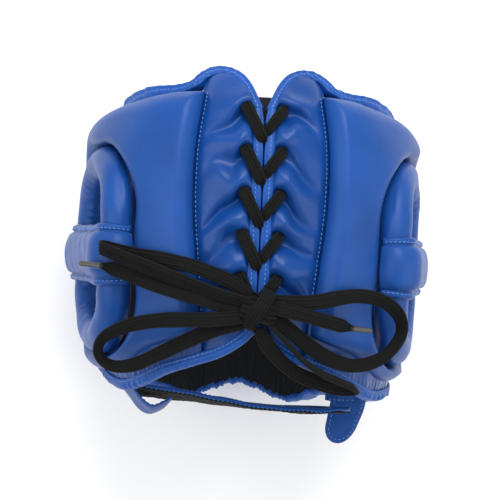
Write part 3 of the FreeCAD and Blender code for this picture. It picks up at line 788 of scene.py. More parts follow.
def crossed_laces():
    """The zigzag over the slit: each leg leaves its hole, lies over the panel and dives into the slit."""
    for row in range(ROWS):
        for side in (1, -1):
            hole = np.array([side * HOLE_X, TOP_HOLE_Y - row * ROW_PITCH - (1.5 if side > 0 else 0.0)])
            run = np.array([-side * HOLE_X, -ROW_PITCH * (0.58 if side > 0 else 0.80)])
            run = run / np.linalg.norm(run)
            last = row == ROWS - 1
            stations = [(-2.6, 6.0), (-2.4, 9.2), (-0.8, 11.5), (2.2, 12.8), (6.0, 13.0), (10.5, 12.6)]
            if last:
                stations += [(14.0, 13.0), (17.0, 14.0), (20.0, 14.2)]
            elif side < 0:
                stations += [(15.0, 12.8), (19.0, 12.4), (22.0, 10.4), (24.0, 6.0)]
            else:
                stations += [(14.6, 12.2), (17.4, 10.0), (18.8, 6.0)]
            line = []
            for reach, lift in stations:
                x, y = hole + run * reach
                lift = lift + (0.7 if side < 0 and reach > 8 else 0.0)
                line.append(over(x, y, lift))
            line = spline(line, 60)
            middle = over(np.array([hole[0] * 0.55]), np.array([hole[1] - 6]), 10.0)[0]
            normals = np.tile(middle - (0, middle[1], HEAD_AXIS_Z), (len(line), 1))
            normals[:, 1] = 12.0
            start = 1 - smooth(np.linspace(0, 1, len(line)) / 0.16)
            stop = smooth((np.linspace(0, 1, len(line)) - 0.8) / 0.2) * (0 if last else 1)
            normals = unit(normals)
            normals = normals - np.outer(start, (*(run * 1.4), 0)) + np.outer(stop, (*(run * 1.4), 0))
            width = LEG_WIDTH * (1.08 if side < 0 else 0.98)
            name = "lace_leg_%s_%d" % ("right" if side > 0 else "left", row + 1)
            piece, _ = ribbon(name, line, normals, width, 2.9, ribs=3.5, seed=40 + row * 2 + (side > 0),
                              taper=(0.55, 1.0 if last else 0.42), pinch=7.5)
            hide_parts("lace_crossings")


bow()
knot()
crossed_laces()


# ---------------------------------------------------------------- outlines of the right half, from behind
LOBE = [(88, 86), (86, 95), (72, 101.5), (56, 102.5), (46, 105), (38, 112.5), (28, 116), (17, 113),
        (9, 105), (0.9, 88)]
LOBE_INNER = [(42, 97.5), (40.5, 102), (35.5, 107.5), (28, 110.5), (20, 108.5), (13, 101.5), (6.6, 90)]
HEM_LINE = [(1.0, -47), (9, -55.5), (21, -63.5), (36, -69.5), (54, -76.5), (66, -83.5), (80, -90.5),
            (95, -92.8), (110, -93), (125, -92.5)]
PAD_FOOT = [(30, -50), (46, -56.5), (60, -61), (72, -66), (86, -76), (100, -83), (125, -84)]
FRONT_TOP = [(0, 92), (40, 90), (75, 84), (105, 79), (125, 78)]
FRONT_FOOT = [(0, -93), (22, -98), (46, -104), (70, -98), (100, -93), (125, -92.5)]
SIDE_TOP = [(78, 78), (125, 81), (160, 87), (190, 93), (206, 96.0), (224, 98.0), (250, 98)]
EYE_TOP = [(0, 26), (20, 25), (38, 21), (50, 10), (56, -6)]
EYE_SIDE = [(51.5, 8), (56, -6), (54.5, -22), (47, -36), (34, -44.5)]
EYE_FOOT = [(0, -50), (22, -48), (34, -44.5)]
ARC = 112.0          # millimetres of outer surface per radian round the head
EAR_Z = 155.5
EAR_Y = -4.0
EAR_HALF_Z = 56.6
EAR_HALF_Y = 68.1
EAR_CORNER = 43.0
FLARE_FORM = (FLARE, THIN, FLARE)
CHIN_FORM = (30.0, 22.0, 39.0)
EASE = 0.65
SEAM_FOOT_Y = -52.0

stitches = Stitching(7)


def distance_to(line, u, v):
    """Shortest distance from points (u, v) to a polyline."""
    flat = np.stack([np.ravel(u), np.ravel(v)], -1)
    best = np.full(len(flat), 1e9)
    for a, b in zip(line[:-1], line[1:]):
        ab = b - a
        t = np.clip(((flat - a) @ ab) / max(ab @ ab, 1e-9), 0, 1)
        best = np.minimum(best, np.linalg.norm(flat - a - t[:, None] * ab, axis=1))
    return best.reshape(np.shape(u))


class Pad:
    """A thick pad between the lining and one outer form, with an edge roll of its own along each border."""

    def __init__(self, outer, sign, borders, seed, wave=0.35, wave_size=46.0):
        self.outer = outer
        self.sign = sign
        # Each border: line in arc and height, width of its roll, drop at the edge, power of the roll.
        self.borders = borders
        self.seed = seed
        self.wave = wave
        self.wave_size = wave_size

    def inward(self, phi, y):
        """Direction towards the head: straight down beside the rear seam, square to the form elsewhere."""
        width, depth, _ = oval(y, *self.outer)
        n = unit(np.stack([np.sin(phi) / width, np.zeros_like(phi), np.cos(phi) / depth], -1))
        near = 1 - smooth((np.abs(phi) - 0.42) / 0.5)
        n = n * (1 - near[..., None]) + np.array((0, 0, 1.0)) * near[..., None]
        return -unit(n)

    def thickness(self, phi):
        side, back, front = self.outer
        s2 = np.sin(phi) ** 2
        return side * s2 + np.where(np.cos(phi) > 0, back, front) * (1 - s2) - LINING

    def drop(self, phi, y):
        total = np.zeros(np.shape(phi))
        for line, roll, depth, power in self.borders:
            d = distance_to(line, phi * ARC, y)
            total = np.maximum(total, depth * (1 - rounded(d / roll, power)))
        return total

    def top(self, phi, y):
        phi = np.asarray(phi, float)
        y = np.asarray(y, float)
        ripple = self.wave * waves(self.seed, phi * ARC, y, self.wave_size)
        away = self.drop(phi, y) - ripple
        points = around(phi, y, 1.0, self.outer) + self.inward(phi, y) * away[..., None]
        return self.placed(points)

    def bottom(self, phi, y):
        phi = np.asarray(phi, float)
        y = np.asarray(y, float)
        depth = (self.thickness(phi) - 0.2)[..., None]
        return self.placed(around(phi, y, 1.0, self.outer) + self.inward(phi, y) * depth)

    def placed(self, points):
        points = points * (self.sign, 1, 1)
        points[..., 2] = np.maximum(points[..., 2], 0.15)
        return points

    def build(self, name, phi, y, nodes, wrap=False):
        piece = slab_piece(name, self.top(phi, y), self.bottom(phi, y), smooth_leather, wrap)
        fitted(piece, nodes)

    def stitch(self, phi, y):
        line = self.top(phi, y)
        up = -self.inward(np.asarray(phi, float), np.asarray(y, float)) * (self.sign, 1, 1)
        stitches.along(line, up, lift=0.15)


def both(make):
    for sign, tag in ((1, "right"), (-1, "left")):
        make(sign, tag)


# ---------------------------------------------------------------- laced back panels
def panel_relief(x, y, seed):
    """Height that soft leather pulled by the lace stands above or below the plain panel."""
    outer = seam_x(y) - x
    height = 1.5 * np.sin(math.pi * np.clip((x - 6) / (seam_x(y) - 6), 0, 1)) ** 0.8
    height -= 2.6 * bump(np.maximum(outer, 0), 3.4)
    height -= 1.7 * bump(x - 6.0, 1.9)
    draw = random.Random(seed)
    loose = smooth((x - 12) / 9)
    warped_x = x + 2.0 * loose * waves(seed + 5, x, y, 40.0)
    warped_y = y + 4.2 * loose * waves(seed + 6, x, y, 44.0)
    for row in range(ROWS):
        across = warped_x - HOLE_X
        along = warped_y - (TOP_HOLE_Y - row * ROW_PITCH)
        swing = draw.uniform(-0.1, 0.12)
        size = draw.uniform(0.85, 1.2)
        valley = along + 3.2 + (0.42 + swing) * across + 0.010 * across ** 2
        fade = np.exp(-np.maximum(across - 1.0, 0) ** 2 / (2 * (14.0 * size) ** 2)) * smooth((x - 6.5) / 4)
        height -= 5.2 * size * bump(valley, 5.4) * fade
        ridge = along - 6.2 + (0.12 + swing) * across
        height += 3.3 * size * bump(ridge, 6.6) * bump(across - 5, 16.0)
        puff = along + 15.0 + 0.2 * across
        height += 2.2 * size * bump(puff, 6.5) * bump(across - 3.5, 7.5)
        r = np.hypot(across, along)
        height -= 4.2 * bump(r, 3.1)
    height += 0.30 * waves(seed + 1, x, y, 24.0)
    height += 0.10 * waves(seed + 2, x, y, 7.5) * bump(x - 11, 9)
    return height


def lace_panel(sign, tag):
    u = np.linspace(0, 1, 96)[:, None]
    v = np.linspace(0, 1, 330)[None, :]
    first = 5.4 + u * (41.5 - 5.4)
    low = curve_value(HEM_LINE, first) + 1.6
    high = curve_value(LOBE_INNER, np.clip(first, 6.6, 42)) + 1.0
    y = low + (high - low) * v
    x = 5.4 + u * (seam_x(y) + 0.6 - 5.4)
    seed = 11 if sign > 0 else 27
    surface = over(x, y, THIN)
    surface[..., 2] += panel_relief(x, y, seed)
    under = over(x, y, LINING + 0.2)
    piece = slab_piece("lace_panel_" + tag, surface * (sign, 1, 1), under * (sign, 1, 1), soft_leather)
    fitted(piece, ("lace_panel_cover_" + tag, "lace_panel_foam_" + tag))
    y = np.linspace(-66, 98, 320)
    x = seam_x(y) - 2.0
    line = over(x, y, THIN)
    line[:, 2] += panel_relief(x, y, seed)
    normal = np.stack([np.full_like(x, 0.45), 0 * x, np.ones_like(x)], -1)
    stitches.along(line * (sign, 1, 1), normal * (sign, 1, 1))


both(lace_panel)


# ---------------------------------------------------------------- side shells round the ear openings
def ear_edge():
    """Edge of the ear opening, in arc and height."""
    z, y = rounded_frame(EAR_HALF_Z, EAR_HALF_Y, EAR_CORNER, 300, (EAR_Z, EAR_Y)).T
    return np.stack([phi_at_z(z, y) * ARC, y], -1)


def shell_borders():
    """Seam, top, front and foot borders of the right shell, in arc and height."""
    y = np.linspace(SEAM_FOOT_Y, 97.5, 90)
    seam = np.stack([phi_at_x(seam_x(y), y) * ARC, y], -1)
    top = spline(SIDE_TOP[::-1], 120)
    top = top[top[:, 0] < 247]
    top_phi = phi_at_z(top[:, 0], top[:, 1])
    top = np.stack([top_phi * ARC, top[:, 1]], -1)
    top = top[top[:, 0] > seam[-1, 0] + 1]
    y = np.linspace(77.5, -83, 60)
    front = np.stack([phi_at_z(FRONT_SPLIT_Z, y) * ARC, y], -1)
    phi = np.linspace(front[-1, 0] / ARC, seam[0, 0] / ARC, 120)
    y = np.full_like(phi, -70.0)
    for _ in range(6):
        width = HEAD_HALF_WIDTH * fullness(y) + THICK[0]
        y = curve_value(PAD_FOOT, width * np.sin(phi))
    foot = np.stack([phi * ARC, y], -1)
    return seam, top, front, foot


SHELL_SEAM, SHELL_TOP, SHELL_FRONT, SHELL_FOOT = shell_borders()
EAR_EDGE = ear_edge()


def shell_grid(count, shares, corners=()):
    """Grid from the ear opening's edge out to the shell's borders, as angle and height."""
    outer = np.vstack([SHELL_SEAM, SHELL_TOP, SHELL_FRONT, SHELL_FOOT])
    centre = np.array([EAR_EDGE[:, 0].mean(), EAR_Y])
    corner_turns = [math.atan2(c[1] - centre[1], c[0] - centre[0]) for c in corners]
    turns = np.sort(np.concatenate([np.linspace(-math.pi, math.pi, count, endpoint=False), corner_turns]))
    radii = []
    for line in (EAR_EDGE, outer):
        rel = line - centre
        angle = np.arctan2(rel[:, 1], rel[:, 0])
        order = np.argsort(angle)
        reach = np.hypot(rel[:, 0], rel[:, 1])[order]
        radii.append(np.interp(turns, angle[order], reach, period=2 * math.pi))
    r = radii[0][:, None] + (radii[1] - radii[0])[:, None] * shares[None, :]
    phi = (centre[0] + r * np.cos(turns)[:, None]) / ARC
    return phi, centre[1] + r * np.sin(turns)[:, None]


def side_shell(sign, tag):
    corners = [SHELL_SEAM[0], SHELL_SEAM[-1], SHELL_FRONT[0], SHELL_FRONT[-1]]
    phi, y = shell_grid(400, (1 - np.cos(np.linspace(0, math.pi, 46))) / 2, corners)
    ear_border = np.vstack([EAR_EDGE, EAR_EDGE[:1]])
    borders = [(SHELL_SEAM, 13.0, 13.6, 1.35), (SHELL_TOP, 12.0, 12.0, 2.3), (SHELL_FRONT, 8.0, 7.0, 2.3),
               (SHELL_FOOT, 10.5, 11.5, 2.0), (ear_border, 9.5, 12.0, 2.3)]
    pad = Pad(THICK, sign, borders, 31 + sign, wave=0.4, wave_size=60)
    pad.build("side_shell_" + tag, phi, y, ("side_cover_" + tag, "side_foam_" + tag), wrap=True)


both(side_shell)


# ---------------------------------------------------------------- thin skirt under the shells
def hem_y(phi, sign):
    """Height of the neck edge at an angle round the head; it turns up at the side, more on the left."""
    y = np.full(np.shape(phi), -70.0)
    for _ in range(8):
        x = (HEAD_HALF_WIDTH * fullness(y) + FLARE) * np.sin(phi)
        y = curve_value(HEM_LINE, np.abs(x))
    lift = 11.0 if sign < 0 else 4.0
    return y + lift * bump(phi - 1.52, 0.30)


def flare_point(phi, y, extra, sign):
    """Point of the flared skirt; it is drawn in a little towards the neck, most on the left."""
    point = around(phi, y, 1.0, tuple(v + extra for v in FLARE_FORM), BARE_HEAD)
    pull = (5.0 if sign < 0 else 1.0) * smooth((-64.0 - np.asarray(y)) / 24.0) * np.abs(np.sin(phi)) ** 3
    return point - from_axis(point) * pull[..., None]


FRONT_PHI = float(phi_at_z(FRONT_SPLIT_Z, -88.0, FLARE_FORM))


def neck_skirt(sign, tag):
    phi = np.linspace(0.315, FRONT_PHI, 260)[:, None]
    low = hem_y(phi, sign) + 1.2
    width = HEAD_HALF_WIDTH * fullness(low + 15) + THICK[0]
    high = np.maximum(curve_value(PAD_FOOT, np.minimum(width * np.sin(phi), 124)) + 9.0, low + 8)
    v = np.linspace(0, 1, 40)[None, :]
    y = low + (high - low) * v
    gather = 0.35 * waves(50 + sign, phi * ARC * 3.2, y, 15.0) * np.exp(-(y - low) / 8.0)
    soft = 0.5 * waves(52 + sign, phi * ARC, y, 28.0)
    surface = flare_point(phi + 0 * y, y, 0.0, sign)
    surface = surface + from_axis(surface) * (gather + soft)[..., None]
    under = flare_point(phi + 0 * y, y, -4.5, sign)
    mirror = (sign, 1, 1)
    piece = slab_piece("neck_skirt_leather_" + tag, surface * mirror, under * mirror, soft_leather)
    fitted(piece, ("neck_skirt_" + tag,))


both(neck_skirt)


# ---------------------------------------------------------------- rolled edges and bindings
def rolled_band(name, rings, node):
    """Rolled leather edge from one ring of points per station."""
    fitted(tube_piece(name, rings, rolled_leather), (node,))


# Section of a rolled edge: share across from the stitched line to the outer fold, and height.
HEM_SECTION = [(0.0, -0.6), (0.03, 0.5), (0.10, 1.05), (0.22, 1.1), (0.30, 0.75), (0.36, 1.15), (0.50, 1.9),
               (0.66, 2.1), (0.82, 1.6), (0.94, 0.4), (1.0, -1.2), (0.97, -2.9), (0.86, -4.2), (0.6, -4.9),
               (0.3, -5.0), (0.05, -4.6), (-0.02, -2.4)]


def section_points(section):
    """A rolled section made round, as shares across and heights."""
    line = spline(section + [section[0]], 34)
    return line[:-1]


def neck_hem(sign, tag):
    phi = np.linspace(float(phi_at_x(1.2, -47, THIN)), FRONT_PHI + 0.02, 330)
    section = section_points(HEM_SECTION)
    base = hem_y(phi, sign)
    slope = np.gradient(base, phi * ARC)
    lean = np.arctan(slope)
    fine = waves(60 + sign, phi * ARC * 2.3, 0 * phi, 9.0)
    pull = waves(62 + sign, phi * ARC, 0 * phi, 26.0)
    rings = []
    for k, p in enumerate(phi):
        across = 3.6 - section[:, 0] * 7.4
        fold = np.clip((section[:, 0] - 0.25) / 0.5, 0, 1) * (section[:, 1] > -1)
        height = section[:, 1] + fold * (0.45 * fine[k] + 0.35 * pull[k]) + 0.35
        dphi = -across * math.sin(lean[k]) / ARC
        y = base[k] + across * math.cos(lean[k])
        ring = flare_point(p + dphi, y, 0.0, sign)
        rings.append((ring + from_axis(ring) * height[:, None]) * (sign, 1, 1))
    rings = np.array(rings)
    rolled_band("neck_hem_roll_" + tag, rings, "neck_hem_" + tag)
    stitch_on(rings, section, 0.16)


def stitch_on(rings, section, share):
    """Row of stitches on a rolled band at a share across its top face."""
    top = np.where(section[:, 1] > -0.4)[0]
    pick = top[np.argmin(np.abs(section[top, 0] - share))]
    line = rings[:, pick]
    other = rings[:, (pick + 2) % rings.shape[1]]
    back = rings[:, pick - 2]
    tangent = np.gradient(line, axis=0)
    normal = np.cross(tangent, other - back)
    inside = rings.mean(1)
    flip = np.sign(((line - inside) * normal).sum(1))
    normal = normal * flip[:, None]
    normal /= np.maximum(np.linalg.norm(normal, axis=1, keepdims=True), 1e-9)
    stitches.along(line, normal)


both(neck_hem)

BINDING_SECTION = [(0.0, -1.0), (0.02, 0.35), (0.12, 0.75), (0.32, 0.8), (0.46, 0.62), (0.58, 0.75),
                   (0.66, 0.2), (0.74, 0.9), (0.86, 1.0), (0.97, 0.3), (1.0, -1.6), (0.96, -4.5),
                   (0.8, -6.4), (0.4, -6.8), (0.05, -6.0), (-0.01, -3.5)]


def slit_edge(y):
    """Half width of the slit: closed between the crossings and parted under each one."""
    edge = np.full(np.shape(y), 0.25)
    for row in range(ROWS - 1):
        crossing = TOP_HOLE_Y - (row + 0.5) * ROW_PITCH
        edge = edge + 0.4 * bump(y - crossing + 8.0, 3.6)
    edge = edge + 1.8 * smooth((y - 78) / 14)
    return edge + 0.8 * smooth((-38 - y) / 8)


def slit_binding(sign, tag):
    y = np.linspace(-48, 91, 420)
    section = section_points(BINDING_SECTION)
    edge = slit_edge(y)
    wobble = 0.22 * waves(70 + sign, y, 0 * y, 11.0)
    rings = []
    for k, at in enumerate(y):
        x = 6.9 - section[:, 0] * (6.9 - edge[k])
        ring = over(x, at + 0 * x, THIN)
        ring[:, 2] += section[:, 1] + 0.6 + wobble[k] * (section[:, 1] > 0)
        rings.append(ring * (sign, 1, 1))
    rings = np.array(rings)
    rolled_band("slit_binding_roll_" + tag, rings, "slit_binding_" + tag)
    stitch_on(rings, section, 0.34)


both(slit_binding)


def top_binding(sign, tag):
    """Rolled piping round the lobe, running on as a stitched flange over the shell's top edge."""
    outer = spline(LOBE[::-1], 360)
    inner_points = [(6.9, 88), (13, 101.0), (20, 108.3), (28, 110.3), (36, 107.2), (42, 101.5),
                    (54, 96.5), (68, 95.0), (81, 88), (90, 80)]
    inner = spline(inner_points, 360)
    section = section_points(BINDING_SECTION)
    fine = waves(80 + sign, np.linspace(0, 190, 360), 0 * np.linspace(0, 1, 360), 8.0)
    rings = []
    side_rise = smooth((outer[:, 0] - 40) / 40)
    for k in range(len(outer)):
        xy = inner[k] + section[:, 0:1] * (outer[k] - inner[k])
        level = THIN + 9.0 * side_rise[k]
        ring = over(xy[:, 0], xy[:, 1], level, THIN + 3.0 * side_rise[k])
        away = (ring - (0, 0, HEAD_AXIS_Z)) * (1, 0.35, 1)
        height = section[:, 1] * 1.25 + 0.4 + 0.3 * fine[k] * (section[:, 1] > 0.2)
        rings.append((ring + unit(away) * height[:, None]) * (sign, 1, 1))
    rings = np.array(rings)
    rolled_band("top_binding_roll_" + tag, rings, "top_binding_" + tag)
    stitch_on(rings, section, 0.34)


both(top_binding)


# ---------------------------------------------------------------- forehead, cheeks and chin guard
def grid_borders(phi, y, sides):
    """Borders of a grid in arc and height, each with the width of its roll and the drop at the edge."""
    s = phi * ARC
    lines = {"first": (s[0], y[0]), "last": (s[-1], y[-1]), "foot": (s[:, 0], y[:, 0]),
             "top": (s[:, -1], y[:, -1])}
    borders = []
    for key, (roll, depth) in sides.items():
        a, b = lines[key]
        borders.append((resampled(np.stack([a, b], -1), 60), roll, depth, 2.3))
    return borders


def eased(count):
    """Shares from 0 to 1, packed closer at both ends."""
    t = np.linspace(0, 1, count)
    return (1 - EASE) * t + EASE * (1 - np.cos(math.pi * t)) / 2


def forehead_grid():
    u = eased(150)[:, None]
    v = eased(56)[None, :]
    y = 20 + 60 * v + 0 * u
    for _ in range(8):
        edge = phi_at_z(FRONT_SPLIT_Z, y)
        phi = edge + u * (2 * math.pi - 2 * edge)
        width, _, _ = oval(y, *THICK)
        x = np.abs(width * np.sin(phi))
        low = np.maximum(BROW_SPLIT_Y, curve_value(EYE_TOP, np.minimum(x, 55.9)))
        y = low + (curve_value(FRONT_TOP, x) - low) * v
    return phi, y


def cheek_grid(form):
    """Right cheek, from the chin guard or the opening's side out to the side shell."""
    u = eased(56)[:, None]
    v = eased(90)[None, :]
    y = -90 + 98 * v + 0 * u
    for _ in range(10):
        width, _, _ = oval(y, *form)
        side = spline(EYE_SIDE[::-1], 120)
        inner = np.where(y < -44.5, CHIN_HALF_WIDTH, np.interp(y, side[:, 1], side[:, 0]))
        first = math.pi - np.arcsin(np.clip(inner / width, -0.999, 0.999))
        last = phi_at_z(FRONT_SPLIT_Z, y, form)
        phi = first + (last - first) * u
        x = np.abs(width * np.sin(phi))
        low = curve_value(FRONT_FOOT, x) + 1.5
        y = low + (BROW_SPLIT_Y - low) * v
    return phi, y


def chin_grid():
    u = np.linspace(-1, 1, 90)[:, None]
    v = eased(56)[None, :]
    y = -95 + 48 * v + 0 * u
    for _ in range(8):
        width, _, _ = oval(y, *CHIN_FORM)
        phi = math.pi - np.arcsin(np.clip(u * CHIN_HALF_WIDTH / width, -0.999, 0.999))
        x = np.abs(u * CHIN_HALF_WIDTH)
        low = curve_value(FRONT_FOOT, x) + 1.5
        y = low + (curve_value(EYE_FOOT, x) - low) * v
    return phi, y


CHIN_HALF_WIDTH = 34.0
FOREHEAD = forehead_grid()
CHEEK = cheek_grid(THICK)
CHIN = chin_grid()

# Width and drop of the roll along each side of a pad.
BROW_ROLLS = {"first": (7.0, 6.0), "last": (7.0, 6.0), "foot": (10.0, 12.0), "top": (13.0, 15.0)}
CHIN_ROLLS = {"first": (6.0, 6.0), "last": (6.0, 6.0), "foot": (10.0, 12.0), "top": (10.0, 12.0)}
CHEEK_ROLLS = {"first": (8.0, 10.0), "last": (7.0, 6.0), "foot": (10.0, 11.0), "top": (6.0, 5.0)}

brow_pad = Pad(THICK, 1, grid_borders(*FOREHEAD, BROW_ROLLS), 201, wave=0.5, wave_size=40)
brow_pad.build("forehead_pad", *FOREHEAD, ("forehead_cover", "forehead_foam"))
brow_pad.stitch(FOREHEAD[0][4], FOREHEAD[1][4])
brow_pad.stitch(FOREHEAD[0][-5], FOREHEAD[1][-5])
chin_pad = Pad(CHIN_FORM, 1, grid_borders(*CHIN, CHIN_ROLLS), 207, wave=0.5, wave_size=34)
chin_pad.build("chin_guard_pad", *CHIN, ("chin_guard_cover", "chin_guard_foam"))


def cheek(sign, tag):
    pad = Pad(THICK, sign, grid_borders(*CHEEK, CHEEK_ROLLS), 211 + sign, wave=0.5, wave_size=36)
    pad.build("cheek_pad_" + tag, *CHEEK, ("cheek_cover_" + tag, "cheek_foam_" + tag))
    pad.stitch(CHEEK[0][-4], CHEEK[1][-4])
    pad.stitch(CHEEK[0][:, -4], CHEEK[1][:, -4])


both(cheek)


def lining_from(name, phi, y, seed, node, sign=1, wrap=False, ribs=0.55):
    """Knitted lining that follows the head form, with soft upright folds on its inner face."""
    phi = np.asarray(phi, float)
    y = np.asarray(y, float)
    skin = around(phi, y, 1.0, LINED_HEAD, BARE_HEAD)
    inner = around(phi, y, 0.0, LINED_HEAD, BARE_HEAD)
    s = phi * ARC * 0.75 + 1.5 * waves(seed + 3, phi * ARC, y, 30.0)
    fold = ribs * (np.sin(2 * math.pi * s / 5.8) + 0.8 * waves(seed, phi * ARC, y * 0.3, 9.0))
    n = from_axis(inner)
    inner = inner - n * (0.4 + fold)[..., None]
    skin = skin + n * 0.1
    piece = slab_piece(name, skin * (sign, 1, 1), inner * (sign, 1, 1), lining_cloth, wrap=wrap)
    fitted(piece, (node,))


def stretched_rows(phi, y, below=0.0, above=0.0):
    """The same grid with its lower and upper edges moved by a few millimetres."""
    low = y[:, :1]
    high = y[:, -1:]
    share = (y - low) / (high - low)
    return phi, y + above * share - below * (1 - share)


def refined(phi, y, rows, columns):
    """The grid resampled to another size."""
    a = np.linspace(0, 1, phi.shape[0])
    b = np.linspace(0, 1, phi.shape[1])
    result = []
    for g in (phi, y):
        half = np.stack([np.interp(np.linspace(0, 1, rows), a, g[:, j]) for j in range(g.shape[1])], 1)
        result.append(np.stack([np.interp(np.linspace(0, 1, columns), b, half[i]) for i in range(rows)], 0))
    return result


def front_linings():
    phi, y = refined(*stretched_rows(*FOREHEAD, above=2.0), 360, 30)
    lift = 6.0 * np.exp(-((phi - math.pi) * ARC / 34.0) ** 2)
    share = (y - y[:, :1]) / (y[:, -1:] - y[:, :1])
    lining_from("forehead_lining", phi, y + lift * share, 301, "lining_forehead")
    lining_from("chin_lining", *refined(*stretched_rows(*CHIN, below=1.0), 240, 40), 307, "lining_chin")
    for sign, tag in ((1, "right"), (-1, "left")):
        phi, y = refined(*stretched_rows(*CHEEK, below=1.0), 240, 50)
        lining_from("cheek_lining_" + tag, phi, y, 311 + sign, "lining_cheek_" + tag, sign)


front_linings()


def back_lining(sign, tag):
    u = np.linspace(0, 1, 60)[:, None]
    v = np.linspace(0, 1, 120)[None, :]
    first = u * 40.0
    low = curve_value(HEM_LINE, first) + 1.0
    high = np.maximum(curve_value(LOBE_INNER, np.clip(first, 6.6, 42)) + 0.5, 96.0)
    y = low + (high - low) * v
    start = 0.9 * bump(y + 36.0, 3.5)
    x = start + u * (seam_x(y) - start)
    top = over(x, y, LINING)
    under = over(x, y, 0.0)
    under[..., 2] -= 0.3 + 0.35 * np.sin(2 * math.pi * x / 5.8) + 0.3 * waves(320, x, y, 12.0)
    piece = slab_piece("back_lining_" + tag, top * (sign, 1, 1), under * (sign, 1, 1), lining_cloth)
    fitted(piece, ("lining_back_" + tag,))


both(back_lining)


def side_linings(sign, tag):
    phi, y = shell_grid(360, np.linspace(0, 1, 30))
    lining_from("side_lining_" + tag, phi, y, 331 + sign, "lining_side_" + tag, sign, wrap=True, ribs=0.4)


both(side_linings)


def skirt_lining(sign, tag):
    phi = np.linspace(0.31, FRONT_PHI, 300)[:, None]
    low = hem_y(phi, sign) + 0.8
    width = HEAD_HALF_WIDTH * fullness(low + 15) + THICK[0]
    high = np.maximum(curve_value(PAD_FOOT, np.minimum(width * np.sin(phi), 124)) + 3.0, low + 6)
    y = low + (high - low) * np.linspace(0, 1, 26)[None, :]
    phi = phi + 0 * y
    skin = flare_point(phi, y, -5.0, sign)
    inner = flare_point(phi, y, -9.0, sign)
    fold = 0.5 * np.sin(2 * math.pi * phi * ARC / 6.4) + 0.5 * waves(340 + sign, phi * ARC, y * 0.3, 11.0)
    inner = inner - from_axis(inner) * fold[..., None]
    piece = slab_piece("skirt_lining_" + tag, skin * (sign, 1, 1), inner * (sign, 1, 1), lining_cloth)
    fitted(piece, ("lining_skirt_" + tag,))


both(skirt_lining)


# ---------------------------------------------------------------- edge of the neck opening at the front
# Section of the rim under the cheeks and chin guard: share of the way out from the head, and height.
RIM_SECTION = [(-0.02, 1.4), (-0.03, -0.3), (0.02, -2.0), (0.20, -3.1), (0.45, -3.0), (0.70, -3.4),
               (0.92, -3.0), (1.03, -1.2), (1.05, 1.2), (0.98, 3.2), (0.60, 3.4), (0.20, 2.6)]


def chin_hem():
    """Gathered rim that closes the foot of the cheeks and the chin guard."""
    first = FRONT_PHI - 0.02
    phi = np.linspace(first, 2 * math.pi - first, 560)
    section = section_points(RIM_SECTION)
    base = np.full_like(phi, -98.0)
    for _ in range(8):
        x = (HEAD_HALF_WIDTH * fullness(base) + FLARE) * np.sin(phi)
        base = curve_value(FRONT_FOOT, np.abs(x))
    s = phi * ARC
    side_of = np.where(phi < math.pi, 1, -1)
    meet = np.where(side_of > 0, hem_y(phi, 1), hem_y(2 * math.pi - phi, -1))
    near = np.minimum(phi - first, 2 * math.pi - first - phi)
    joining = bump(near, 0.22)
    base = base + (meet - base) * joining
    base = base + 0.6 * waves(401, s, 0 * s, 17.0)
    fine = waves(403, s * 2.2, 0 * s, 9.0)
    coarse = waves(404, s, 0 * s, 21.0)
    rings = []
    for k, p in enumerate(phi):
        share = 0.74 * joining[k] + section[:, 0] * (1 - 0.74 * joining[k])
        y = base[k] + section[:, 1] + (0.35 * fine[k] + 0.5 * coarse[k]) * (section[:, 1] < 1)
        outer = flare_point(np.full_like(y, p), y, 0.0, side_of[k])
        inner = around(np.full_like(y, p), y, 0.0, FLARE_FORM, BARE_HEAD)
        point = inner + (outer - inner) * (share + 0.012 * fine[k] * (section[:, 0] < 0.1))[:, None]
        point[:, 2] = np.maximum(point[:, 2], 0.2)
        rings.append(point)
    rings = np.array(rings)
    rolled_band("chin_hem_rim", rings, "chin_hem")
    pick = int(np.argmin(np.abs(section[:, 0] - 0.12) + 10 * (section[:, 1] > 0)))
    line = rings[:, pick]
    stitches.along(line, np.broadcast_to(np.array((0, -1.0, 0)), line.shape))


chin_hem()

# ---------------------------------------------------------------- ear rings and their cross bands
RING_REAR = np.array((88.0, -4.0, 200.0))
RING_FRONT = np.array((106.0, -4.0, 111.0))
RING_HALF_HEIGHT = 56.0
RING_CORNER = 40.0
RING_TUBE = 11.4
BAND_MIDDLE = -7.0
BAND_HALF = 18.5


